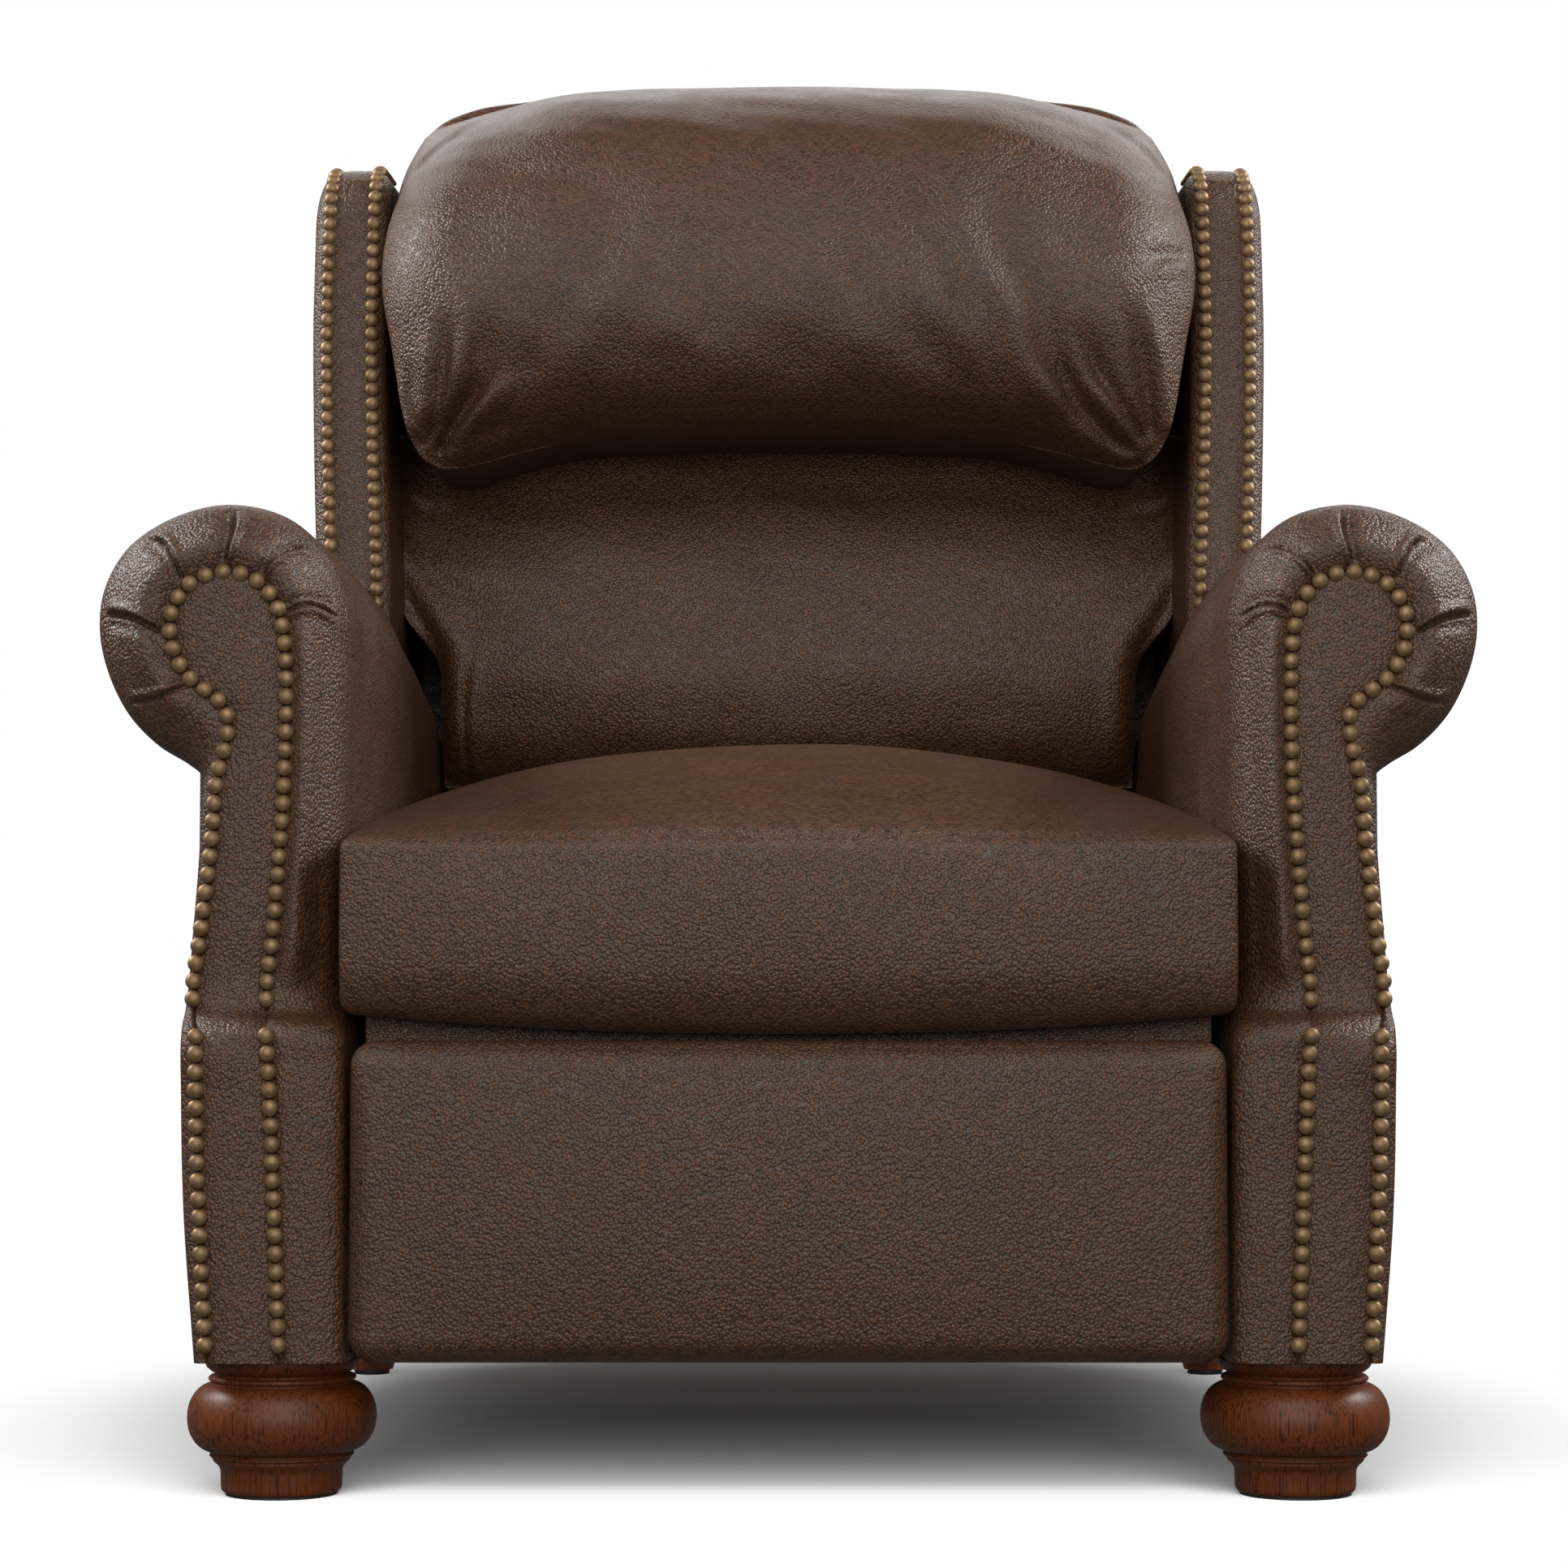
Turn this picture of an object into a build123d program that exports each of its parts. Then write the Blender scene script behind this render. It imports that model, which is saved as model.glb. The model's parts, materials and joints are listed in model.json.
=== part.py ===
from build123d import *
import math
import os

# Traditional wing recliner: rolled arms with scroll fronts, push-back recline, folding footrest.
# Millimetres, +Z up, Z = 0 on the floor, X = 0 on the centre plane, the sitter faces -Y.
# "left" is the sitter's left, which is +X. Left parts are drawn first and mirrored.

# --- overall ---
FRONT = -450.0            # front of the seat cushion
REAR = 450.0              # rear of the back at its top
BACK_TOP_Z = 1046.0
CUSHION_TOP_Z = 1058.0
BASE_BOTTOM_Z = 89.0
BASE_REAR_Y = 430.0
REAR_PANEL_Z = (92.0, 330.0)
FRONT_BAR_Y = (-381.0, -364.0)
FRONT_BAR_HEIGHT = 8.0

# --- arms ---
PANEL_FRONT_Y = FRONT + 40
BLOCK_FRONT_Y = FRONT + 17
PANEL_REAR_Y = FRONT + 68
BLOCK_TOP_Z = 301.0
BLOCK_INNER_X = 282.0
ARM_OUTER_X = 384.0
ARM_INNER_FRONT_X = 290.0
ARM_INNER_REAR_X = 275.0
SIDE_INNER_X = 318.0
SIDE_OUTER_X = 350.0
SIDE_TOP_Z = 482.0
SIDE_REAR_TOP_Z = 420.0
SIDE_SLOPE_FOOT = (350.0, 430.0)
ROLL_TOP_Z = 643.5
ROLL_OUTER_X = 451.5
ROLL_REAR_Y = -26.0
REAR_SIDE_TOP_Z = 552.0
REAR_SIDE_DROP_Y = 170.0
ROLL_UNDER_Z = 468.0
INSIDE_ARM_REAR_Y = 125.0
INSIDE_ARM_BOTTOM_Z = 320.0
TAIL_REAR_Y = 205.0       # the inside arm's lower tail, behind the seated person's elbow
TAIL_BOTTOM_Z = 400.0
TAIL_INNER_X = 280.0
NAIL_R = 5.4
NAIL_HEIGHT = 2.4
ARM_NAIL_PITCH = 11.7

# --- feet ---
FRONT_FOOT = (328.0, -372.0)
REAR_LEG_TOP = (340.0, 400.0)
REAR_LEG_TOE = (358.0, 416.0)
REAR_LEG_TOP_R = 27.0
REAR_LEG_TOE_R = 18.0
FOOT_TOP_R = 49.0
FRONT_GLIDE_R = 36.0
REAR_GLIDE_R = 15.0
GLIDE_HEIGHT = 4.0
BOLT_R = 4.0
BOLT_LOW_Z = 60.0
BOLT_HIGH_Z = 140.0
RAIL_BOLT_DEPTH = 22.0    # into the side frame

# --- seat ---
SEAT_HALF_FRONT = 285.0
SEAT_HALF_REAR = 270.0
SEAT_REAR_Y = 118.0
SEAT_RAIL_Z = 293.0
SEAT_RAIL_TOP_Z = 315.0
DECK_TOP_Z = 317.0
SEAT_LIP_Z = 302.0
SEAT_RAIL_FRONT_Y = -396.0
SEAT_RAIL_REAR_Y = 110.0
RAIL_WIDTH = 22.0
SEAT_RAIL_INNER_X = 235.0

# --- steel mechanism: every plate is PLATE thick, the footrest links lie in layers ---
PLATE = 3.0
LAYER_PITCH = 5.0
PIN_R = 4.0
PIN_HOLE_R = 4.05
HEAD_R = 7.0
HEAD = 1.4
SEAT_PLATE_X = 268.0
SWING_X = 273.0
RAIL_WEB_X = 278.0
LAYER_X = 263.0           # inner face of the outermost link layer
LINK_R = 10.5
SWING_LENGTH = 100.0
SWING_R = 12.0
SWING_ANGLE = 20.0        # the swing links lean this far back at rest
FRONT_SWING_Y = -190.0
REAR_SWING_Y = 110.0
SWING_Z = 130.0
TUBE_R = 9.0
TUBE_WALL = 2.0
TUBE_AT = 25.0            # the torque tube's place along its swing link
BACK_PIVOT = (180.0, 330.0)
RAIL_Y = (-340.0, 250.0)
RAIL_LOW_Z = 104.0
RAIL_WEB_Z = 152.0
RAIL_HIGH_Z = 178.0
RAIL_BOLTS = [(-300.0, 160.0), (-40.0, 160.0), (210.0, 160.0)]
RAIL_BOLT_HEAD = 4.0
SEAT_PLATE_FRONT_Y = -290.0
SPRING_R = 2.0

# --- footrest linkage, side view, closed: lengths in mm and angles above the forward direction ---
REAR_PIVOT = (-210.0, 240.0)
CONTROL_PIVOT = (-268.7, 222.2)
REAR_LINK_LENGTH = 141.0
REAR_LINK_ANGLE = -75.0
MID_LINK_LENGTH = 187.0
MID_LINK_ANGLE = 50.0
BRACKET_LENGTH = 119.0
BRACKET_ANGLE = -84.0
CONTROL_LENGTH = 112.7
CONTROL_ANGLE = -83.7
CONTROL_HOLE_R = 6.9      # the control link's free end is a loose hole
GUIDE_LENGTH = 189.1
GUIDE_ANGLE = 49.6
GUIDE_HOLE_R = 4.4
REAR_EAR = (125.2, -25.2)
MID_EAR = (25.0, -22.0)
BRACKET_EAR = (-12.0, -24.9)
CROSS_TUBE_AT = 60.0
BOARD_REAR_Y = -396.0
BOARD_FRONT_Y = -414.0
PAD_FRONT_Y = FRONT + 8
PAD_HALF = 278.0
BOARD_HALF = 272.0
BOARD_Z = (100.0, 275.0)
BRACKET_FLANGE_Z = (118.0, 200.0)
BRACKET_FLANGE = 40.0

# --- back ---
WING_LEAN = 10.0
BACK_LEAN = 14.0
WING_INNER_X = 312.0
WING_OUTER_X = 367.0
WING_BOTTOM_Z = 560.0
WING_FRONT_Y = 20.0       # at WING_REF_Z
WING_REF_Z = 790.0
BACK_PANEL = 12.0
BACK_HALF_LOW = 262.0
BACK_BOTTOM_Z = 232.0
BACK_RAIL_INNER_X = 240.0
BACK_RAIL_Z = (250.0, 1026.0)
WING_NAIL_PITCH = 11.3

os.makedirs("parts", exist_ok=True)


def save(name, shape):
    export_step(shape, f"parts/{name}.step")


def save_pair(name, shape):
    """Save a left part and its mirror image on the right."""
    save(f"{name}_left", shape)
    save(f"{name}_right", mirror(shape, about=Plane.YZ))


def both(shape):
    return Compound([shape, mirror(shape, about=Plane.YZ)])


def side_prism(points, x_low, x_high):
    """A solid with a (y, z) outline, from x_low to x_high."""
    outline = Polyline(*[(x_low, y, z) for y, z in points], close=True)
    return extrude(make_face(outline), amount=x_high - x_low, dir=(1, 0, 0))


def box(x_range, y_range, z_range):
    size = [high - low for low, high in (x_range, y_range, z_range)]
    middle = [(high + low) / 2 for low, high in (x_range, y_range, z_range)]
    return Pos(*middle) * Box(*size)


def rod(x_low, x_high, y, z, radius):
    """A round bar along X."""
    return Pos((x_low + x_high) / 2, y, z) * Rot(0, 90, 0) * Cylinder(radius, x_high - x_low)


def wing_front_y(z):
    return WING_FRONT_Y + math.tan(math.radians(WING_LEAN)) * (z - WING_REF_Z)


def back_rear_y(z):
    return REAR - math.tan(math.radians(BACK_LEAN)) * (BACK_TOP_Z - z)


# ---------------------------------------------------------------- base and arms

def roll_edges(y):
    """The scroll outline of a rolled arm in the plane y, open at its underside."""
    under = (ARM_OUTER_X - 3, y, ROLL_UNDER_Z)
    outer = (ROLL_OUTER_X, y, 566)
    top = (365, y, ROLL_TOP_Z)
    inner = (294, y, 600)
    return [
        ThreePointArc(under, (431, y, 505), outer),
        ThreePointArc(outer, (428, y, 621), top),
        ThreePointArc(top, (322, y, 633), inner),
        Line(inner, (ARM_INNER_FRONT_X, y, SIDE_TOP_Z)),
    ]


def roll_face(y):
    edges = roll_edges(y)
    corners = [
        (ARM_INNER_FRONT_X, y, SIDE_TOP_Z),
        (SIDE_OUTER_X, y, SIDE_TOP_Z),
        (SIDE_OUTER_X, y, ROLL_UNDER_Z),
        (ARM_OUTER_X - 3, y, ROLL_UNDER_Z),
    ]
    return make_face(edges + [Polyline(*corners)])


def arm_roll():
    return extrude(roll_face(PANEL_REAR_Y), amount=ROLL_REAR_Y - PANEL_REAR_Y, dir=(0, 1, 0))


def side_outline():
    """The side of the base behind the front panel: low under the roll, higher behind it."""
    return [
        (PANEL_REAR_Y, BASE_BOTTOM_Z),
        (BASE_REAR_Y, BASE_BOTTOM_Z),
        (BASE_REAR_Y, SIDE_REAR_TOP_Z),
        SIDE_SLOPE_FOOT,
        (REAR_SIDE_DROP_Y, REAR_SIDE_TOP_Z),
        (ROLL_REAR_Y, REAR_SIDE_TOP_Z),
    ]


def foot_bolt(place):
    """The hanger bolt that holds a foot, also used to cut its hole."""
    middle = (BOLT_LOW_Z + BOLT_HIGH_Z) / 2
    return Pos(*place, middle) * Cylinder(BOLT_R, BOLT_HIGH_Z - BOLT_LOW_Z)


def base_side_frame():
    points = side_outline() + [(ROLL_REAR_Y, SIDE_TOP_Z), (PANEL_REAR_Y, SIDE_TOP_Z)]
    frame = side_prism(points, SIDE_INNER_X, SIDE_OUTER_X)
    frame -= foot_bolt(FRONT_FOOT) + foot_bolt(REAR_LEG_TOP)
    for y, z in RAIL_BOLTS:
        frame -= rod(SIDE_INNER_X - 1, SIDE_INNER_X + RAIL_BOLT_DEPTH, y, z, BOLT_R)
    return frame


def outside_arm():
    points = side_outline() + [(ROLL_REAR_Y, ROLL_UNDER_Z), (PANEL_REAR_Y, ROLL_UNDER_Z)]
    return side_prism(points, SIDE_OUTER_X, ARM_OUTER_X)


def inside_arm():
    points = [
        (ARM_INNER_FRONT_X, PANEL_REAR_Y),
        (ARM_INNER_REAR_X, INSIDE_ARM_REAR_Y),
        (SIDE_INNER_X, INSIDE_ARM_REAR_Y),
        (SIDE_INNER_X, PANEL_REAR_Y),
    ]
    outline = Polyline(*[(x, y, INSIDE_ARM_BOTTOM_Z) for x, y in points], close=True)
    pad = extrude(make_face(outline), amount=SIDE_TOP_Z - INSIDE_ARM_BOTTOM_Z, dir=(0, 0, 1))
    tail = side_prism([
        (ROLL_REAR_Y, SIDE_TOP_Z), (ROLL_REAR_Y, REAR_SIDE_TOP_Z), (REAR_SIDE_DROP_Y, REAR_SIDE_TOP_Z),
        (TAIL_REAR_Y, REAR_SIDE_TOP_Z - 24), (TAIL_REAR_Y, TAIL_BOTTOM_Z), (INSIDE_ARM_REAR_Y, TAIL_BOTTOM_Z),
        (INSIDE_ARM_REAR_Y, SIDE_TOP_Z),
    ], TAIL_INNER_X, SIDE_INNER_X)
    return pad + tail


def arm_front_panel():
    """The scroll-topped front of an arm, standing on a block that steps forward."""
    scroll = extrude(roll_face(PANEL_FRONT_Y), amount=PANEL_REAR_Y - PANEL_FRONT_Y, dir=(0, 1, 0))
    neck = box((ARM_INNER_FRONT_X, ARM_OUTER_X), (PANEL_FRONT_Y, PANEL_REAR_Y), (BLOCK_TOP_Z, SIDE_TOP_Z))
    block = box((BLOCK_INNER_X, ARM_OUTER_X + 3), (BLOCK_FRONT_Y, PANEL_REAR_Y), (BASE_BOTTOM_Z, BLOCK_TOP_Z))
    return scroll + neck + block - foot_bolt(FRONT_FOOT)


def nail_row(path, pitch, lean=0.0):
    """Nail heads, one beside the other along a path on a face that looks forward and may lean back."""
    count = round(path.length / pitch)
    heads = []
    for i in range(count + 1):
        place = path.position_at(i / count)
        heads.append(Pos(*place) * Rot(90 - lean, 0, 0) * Cylinder(NAIL_R, NAIL_HEIGHT))
    return heads


def arm_nails():
    """Two rows up the front of an arm, joined round the scroll, on the panel and on the block."""
    y = PANEL_FRONT_Y - NAIL_HEIGHT / 2
    scroll_path = Wire([
        Line((336, y, 319), (325, y, 434)),
        Line((325, y, 434), (325, y, 552)),
        ThreePointArc((325, y, 552), (360, y, 594.5), (399, y, 563)),
        ThreePointArc((399, y, 563), (391, y, 530), (363, y, 503)),
        Line((363, y, 503), (369, y, 450)),
        Line((369, y, 450), (382, y, 325)),
    ])
    y = BLOCK_FRONT_Y - NAIL_HEIGHT / 2
    inner_path = Line((332, y, 300), (323, y, 95))
    outer_path = Line((376.5, y, 300), (369, y, 97))
    heads = nail_row(scroll_path, ARM_NAIL_PITCH)
    heads += nail_row(inner_path, ARM_NAIL_PITCH) + nail_row(outer_path, ARM_NAIL_PITCH)
    return Compound(heads)


def front_foot():
    """A turned bun foot: neck ring, bulb, waist and a flared toe."""
    profile = [
        Polyline((0, 0, BASE_BOTTOM_Z), (FOOT_TOP_R, 0, BASE_BOTTOM_Z), (FOOT_TOP_R, 0, 83), (43, 0, 77)),
        ThreePointArc((43, 0, 77), (61, 0, 48.3), (44, 0, 23)),
        Polyline((44, 0, 23), (39, 0, 17), (39, 0, GLIDE_HEIGHT), (0, 0, GLIDE_HEIGHT),
                 (0, 0, BASE_BOTTOM_Z)),
    ]
    return Pos(*FRONT_FOOT, 0) * revolve(make_face(profile), Axis.Z) - foot_bolt(FRONT_FOOT)


def rear_leg():
    """A plain tapered leg, splayed outwards and back."""
    top = Pos(*REAR_LEG_TOP, BASE_BOTTOM_Z) * Circle(REAR_LEG_TOP_R)
    toe = Pos(*REAR_LEG_TOE, GLIDE_HEIGHT) * Circle(REAR_LEG_TOE_R)
    return loft([toe, top]) - foot_bolt(REAR_LEG_TOP)


def glide(place, radius):
    return Pos(*place, GLIDE_HEIGHT / 2) * Cylinder(radius, GLIDE_HEIGHT)


# ---------------------------------------------------------------- recline mechanism

def mechanism_rail():
    """A channel bolted to the inner side of the base, with the two lower swing pivots in its web."""
    web = box((RAIL_WEB_X, RAIL_WEB_X + PLATE), RAIL_Y, (RAIL_LOW_Z, RAIL_WEB_Z))
    floor = box((RAIL_WEB_X, SIDE_INNER_X), RAIL_Y, (RAIL_LOW_Z, RAIL_LOW_Z + PLATE))
    flange = box((SIDE_INNER_X - PLATE, SIDE_INNER_X), RAIL_Y, (RAIL_LOW_Z, RAIL_HIGH_Z))
    rail = web + floor + flange
    for y in (FRONT_SWING_Y, REAR_SWING_Y):
        rail -= rod(RAIL_WEB_X - 1, RAIL_WEB_X + PLATE + 1, y, SWING_Z, PIN_HOLE_R)
    for y, z in RAIL_BOLTS:
        rail -= rod(SIDE_INNER_X - PLATE - 1, SIDE_INNER_X + 1, y, z, BOLT_R)
    return rail


def rail_bolts():
    bolts = []
    for y, z in RAIL_BOLTS:
        shank = rod(SIDE_INNER_X - PLATE, SIDE_INNER_X + RAIL_BOLT_DEPTH, y, z, BOLT_R)
        head = rod(SIDE_INNER_X - PLATE - RAIL_BOLT_HEAD, SIDE_INNER_X - PLATE, y, z, HEAD_R)
        bolts.append(shank + head)
    return bolts


def up_swing(y, distance):
    """The (y, z) place at a distance up a swing link whose lower pivot is at y."""
    lean = math.radians(SWING_ANGLE)
    return (y + distance * math.sin(lean), SWING_Z + distance * math.cos(lean))


def bar(a, b, radius, x_low):
    """A flat link with round ends from pivot a to pivot b, both (y, z)."""
    span = math.dist(a, b)
    plane = Plane(
        origin=(x_low, (a[0] + b[0]) / 2, (a[1] + b[1]) / 2),
        x_dir=(0, b[0] - a[0], b[1] - a[1]),
        z_dir=(1, 0, 0),
    )
    return extrude(plane * SlotCenterToCenter(span, 2 * radius), amount=PLATE, dir=(1, 0, 0))


def rivet(x_low, x_high, place, low_head=True, high_head=True):
    """A pin between x_low and x_high with a flat head beyond each end that has one."""
    y, z = place
    pin = rod(x_low, x_high, y, z, PIN_R)
    if low_head:
        pin += rod(x_low - HEAD, x_low, y, z, HEAD_R)
    if high_head:
        pin += rod(x_high, x_high + HEAD, y, z, HEAD_R)
    return pin


def hole(x_low, place, radius):
    return rod(x_low - 1, x_low + PLATE + 1, place[0], place[1], radius)


def swing_link(y):
    """A link between the base's rail and the seat plate, with its two pins."""
    low = (y, SWING_Z)
    top = up_swing(y, SWING_LENGTH)
    link = bar(low, top, SWING_R, SWING_X) - hole(SWING_X, low, PIN_R) - hole(SWING_X, top, PIN_R)
    low_pin = rivet(SWING_X, RAIL_WEB_X + PLATE, low, low_head=False)
    high_pin = rivet(SEAT_PLATE_X, SWING_X + PLATE, top)
    return Compound([link, low_pin, high_pin])


def tube(half, place):
    """A hollow cross tube along X, the same on both sides."""
    return rod(-half, half, *place, TUBE_R) - rod(-half, half, *place, TUBE_R - TUBE_WALL)


# ---------------------------------------------------------------- seat

def seat_plate():
    """The steel side of the seat: it hangs the footrest links and carries the back pivot."""
    points = [
        (SEAT_PLATE_FRONT_Y, 206), (160, 206), (200, 300), (200, 346), (160, 346), (150, SEAT_RAIL_Z),
        (SEAT_PLATE_FRONT_Y, SEAT_RAIL_Z),
    ]
    plate = side_prism(points, SEAT_PLATE_X, SEAT_PLATE_X + PLATE)
    plate += box((SEAT_RAIL_INNER_X, SEAT_PLATE_X), (SEAT_PLATE_FRONT_Y, SEAT_RAIL_REAR_Y),
                 (SEAT_RAIL_Z - PLATE, SEAT_RAIL_Z))
    pivots = [REAR_PIVOT, CONTROL_PIVOT, BACK_PIVOT]
    pivots += [up_swing(FRONT_SWING_Y, SWING_LENGTH), up_swing(REAR_SWING_Y, SWING_LENGTH)]
    for place in pivots:
        plate -= hole(SEAT_PLATE_X, place, PIN_HOLE_R)
    return plate


def seat_side_rail():
    return box((SEAT_RAIL_INNER_X, SEAT_PLATE_X + PLATE), (SEAT_RAIL_FRONT_Y, SEAT_RAIL_REAR_Y),
               (SEAT_RAIL_Z, SEAT_RAIL_TOP_Z))


def seat_cross_rails():
    x_range = (-SEAT_RAIL_INNER_X, SEAT_RAIL_INNER_X)
    z_range = (SEAT_RAIL_Z, SEAT_RAIL_TOP_Z)
    front = box(x_range, (SEAT_RAIL_FRONT_Y, SEAT_RAIL_FRONT_Y + RAIL_WIDTH), z_range)
    rear = box(x_range, (SEAT_RAIL_REAR_Y - RAIL_WIDTH, SEAT_RAIL_REAR_Y), z_range)
    return Compound([front, rear])


def seat_springs():
    low, high = SEAT_RAIL_FRONT_Y + RAIL_WIDTH, SEAT_RAIL_REAR_Y - RAIL_WIDTH
    springs = []
    for x in (-180, -90, 0, 90, 180):
        springs.append(Pos(x, (low + high) / 2, 310) * Rot(90, 0, 0) * Cylinder(SPRING_R, high - low))
    return Compound(springs)


def seat_deck():
    half = SEAT_PLATE_X + PLATE
    return box((-half, half), (SEAT_RAIL_FRONT_Y, SEAT_RAIL_REAR_Y), (SEAT_RAIL_TOP_Z, DECK_TOP_Z))


def seat_cushion():
    """A crowned cushion with a lip that hangs in front of the seat rail."""
    lip_rear = SEAT_RAIL_FRONT_Y - 2
    points = [
        (FRONT, SEAT_LIP_Z), (FRONT, 428), (FRONT + 18, 466), (-370, 492), (-150, 507), (60, 494),
        (SEAT_REAR_Y, 478), (SEAT_REAR_Y, DECK_TOP_Z), (lip_rear, DECK_TOP_Z), (lip_rear, SEAT_LIP_Z),
    ]
    block = side_prism(points, -SEAT_HALF_FRONT, SEAT_HALF_FRONT)
    plan = Polyline(
        (-SEAT_HALF_FRONT, FRONT, 280), (SEAT_HALF_FRONT, FRONT, 280),
        (SEAT_HALF_FRONT - 1, PANEL_REAR_Y, 280),
        (SEAT_HALF_REAR, SEAT_REAR_Y, 280), (-SEAT_HALF_REAR, SEAT_REAR_Y, 280),
        (1 - SEAT_HALF_FRONT, PANEL_REAR_Y, 280), close=True,
    )
    return block & extrude(make_face(plan), amount=260, dir=(0, 0, 1))


# ---------------------------------------------------------------- footrest

def forward(angle):
    """The (y, z) direction at an angle above straight forward."""
    return (-math.cos(math.radians(angle)), math.sin(math.radians(angle)))


def along(start, angle, distance, across=0.0):
    """A point at a distance along a link and at another across it, upwards."""
    run = forward(angle)
    rise = forward(angle + 90)
    return (start[0] + distance * run[0] + across * rise[0], start[1] + distance * run[1] + across * rise[1])


REAR_END = along(REAR_PIVOT, REAR_LINK_ANGLE, REAR_LINK_LENGTH)
MID_END = along(REAR_END, MID_LINK_ANGLE, MID_LINK_LENGTH)
BRACKET_END = along(MID_END, BRACKET_ANGLE, BRACKET_LENGTH)
GUIDE_START = along(REAR_PIVOT, REAR_LINK_ANGLE, *REAR_EAR)
GUIDE_END = along(GUIDE_START, GUIDE_ANGLE, GUIDE_LENGTH)
CONTROL_END = along(CONTROL_PIVOT, CONTROL_ANGLE, CONTROL_LENGTH)
MID_EAR_PLACE = along(REAR_END, MID_LINK_ANGLE, *MID_EAR)
BRACKET_EAR_PLACE = along(MID_END, BRACKET_ANGLE, *BRACKET_EAR)


def layer(number):
    """Inner face of a link layer; layer 0 is next to the seat plate."""
    return LAYER_X - number * LAYER_PITCH


def footrest_rear_link():
    x = layer(1)
    link = bar(REAR_PIVOT, REAR_END, LINK_R, x) + bar(REAR_END, GUIDE_START, LINK_R, x)
    for place in (REAR_PIVOT, REAR_END, GUIDE_START):
        link -= hole(x, place, PIN_R)
    pins = [
        rivet(x, SEAT_PLATE_X + PLATE, REAR_PIVOT),
        rivet(layer(2), x + PLATE, REAR_END),
        rivet(layer(4), x + PLATE, GUIDE_START),
    ]
    return Compound([link] + pins)


def footrest_mid_link():
    x = layer(2)
    link = bar(REAR_END, MID_END, LINK_R, x) + bar(REAR_END, MID_EAR_PLACE, LINK_R, x)
    link = link - hole(x, REAR_END, PIN_HOLE_R) - hole(x, MID_END, PIN_R) - hole(x, MID_EAR_PLACE, PIN_R)
    pins = [
        rivet(layer(3), x + PLATE, MID_END),
        rivet(x, layer(0) + PLATE, MID_EAR_PLACE, high_head=False),
    ]
    return Compound([link] + pins)


def footrest_control_link():
    x = layer(0)
    link = bar(CONTROL_PIVOT, CONTROL_END, LINK_R + 1.5, x)
    link = link - hole(x, CONTROL_PIVOT, PIN_R) - hole(x, CONTROL_END, CONTROL_HOLE_R)
    return Compound([link, rivet(x, SEAT_PLATE_X + PLATE, CONTROL_PIVOT)])


def footrest_guide_link():
    x = layer(4)
    link = bar(GUIDE_START, GUIDE_END, LINK_R, x)
    return link - hole(x, GUIDE_START, PIN_HOLE_R) - hole(x, GUIDE_END, GUIDE_HOLE_R)


def footrest_bracket():
    """The last link: it turns with the board, and its flange is screwed to the board's rear."""
    x = layer(3)
    link = bar(MID_END, BRACKET_END, LINK_R, x) + bar(MID_END, BRACKET_EAR_PLACE, LINK_R, x)
    reach = box((x, x + PLATE), (BOARD_REAR_Y, BRACKET_END[0]), BRACKET_FLANGE_Z)
    flange = box((x - BRACKET_FLANGE, x + PLATE), (BOARD_REAR_Y, BOARD_REAR_Y + PLATE), BRACKET_FLANGE_Z)
    link = link + reach + flange
    link = link - hole(x, MID_END, PIN_HOLE_R) - hole(x, BRACKET_EAR_PLACE, PIN_R)
    pin = rivet(layer(4), x + PLATE, BRACKET_EAR_PLACE)
    return Compound([link, pin])


def footrest_board():
    return box((-BOARD_HALF, BOARD_HALF), (BOARD_FRONT_Y, BOARD_REAR_Y), BOARD_Z)


def footrest_pad():
    points = [
        (BOARD_FRONT_Y, 92), (BOARD_FRONT_Y, 282), (-424, 292), (-436, 292), (PAD_FRONT_Y, 284),
        (PAD_FRONT_Y, 98), (-436, 90), (-420, 90),
    ]
    return side_prism(points, -PAD_HALF, PAD_HALF)


# ---------------------------------------------------------------- back

def back_side_rail():
    low, high = BACK_RAIL_Z
    points = [
        (192, low), (192, 600), (284, high), (back_rear_y(high) - 30, high), (back_rear_y(low) - 24, low),
    ]
    return side_prism(points, BACK_RAIL_INNER_X, BACK_HALF_LOW)


def back_cross_rails():
    x_range = (-BACK_RAIL_INNER_X, BACK_RAIL_INNER_X)
    low = box(x_range, (196, 214), (252, 300))
    lumbar = box(x_range, (200, 222), (560, 610))
    top = box(x_range, (288, 400), (BACK_RAIL_Z[1] - RAIL_WIDTH, BACK_RAIL_Z[1]))
    return Compound([low, lumbar, top])


def back_bracket():
    """A steel plate screwed to the outside of a back rail, turning on the seat's pivot."""
    points = [(163, 314), (196, 314), (232, 350), (236, 545), (205, 545), (196, 346), (163, 346)]
    plate = side_prism(points, BACK_HALF_LOW, BACK_HALF_LOW + PLATE)
    plate -= hole(BACK_HALF_LOW, BACK_PIVOT, PIN_R)
    return Compound([plate, rivet(BACK_HALF_LOW, SEAT_PLATE_X + PLATE, BACK_PIVOT, low_head=False)])


def back_springs():
    """Rows of wire between the side rails, low and high."""
    rows = []
    for y, z in ((200, 400), (200, 480), (217, 680), (234, 760), (251, 840), (268, 920)):
        rows.append(rod(-BACK_RAIL_INNER_X, BACK_RAIL_INNER_X, y, z, SPRING_R))
    return Compound(rows)


def front_outline(points):
    """A prism through the whole depth with an (x, z) outline that is the same on both sides."""
    right = [(-x, z) for x, z in reversed(points) if x > 0]
    outline = Polyline(*[(x, 0, z) for x, z in points + right], close=True)
    return extrude(make_face(outline), amount=600, dir=(0, 1, 0), both=True)


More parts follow.
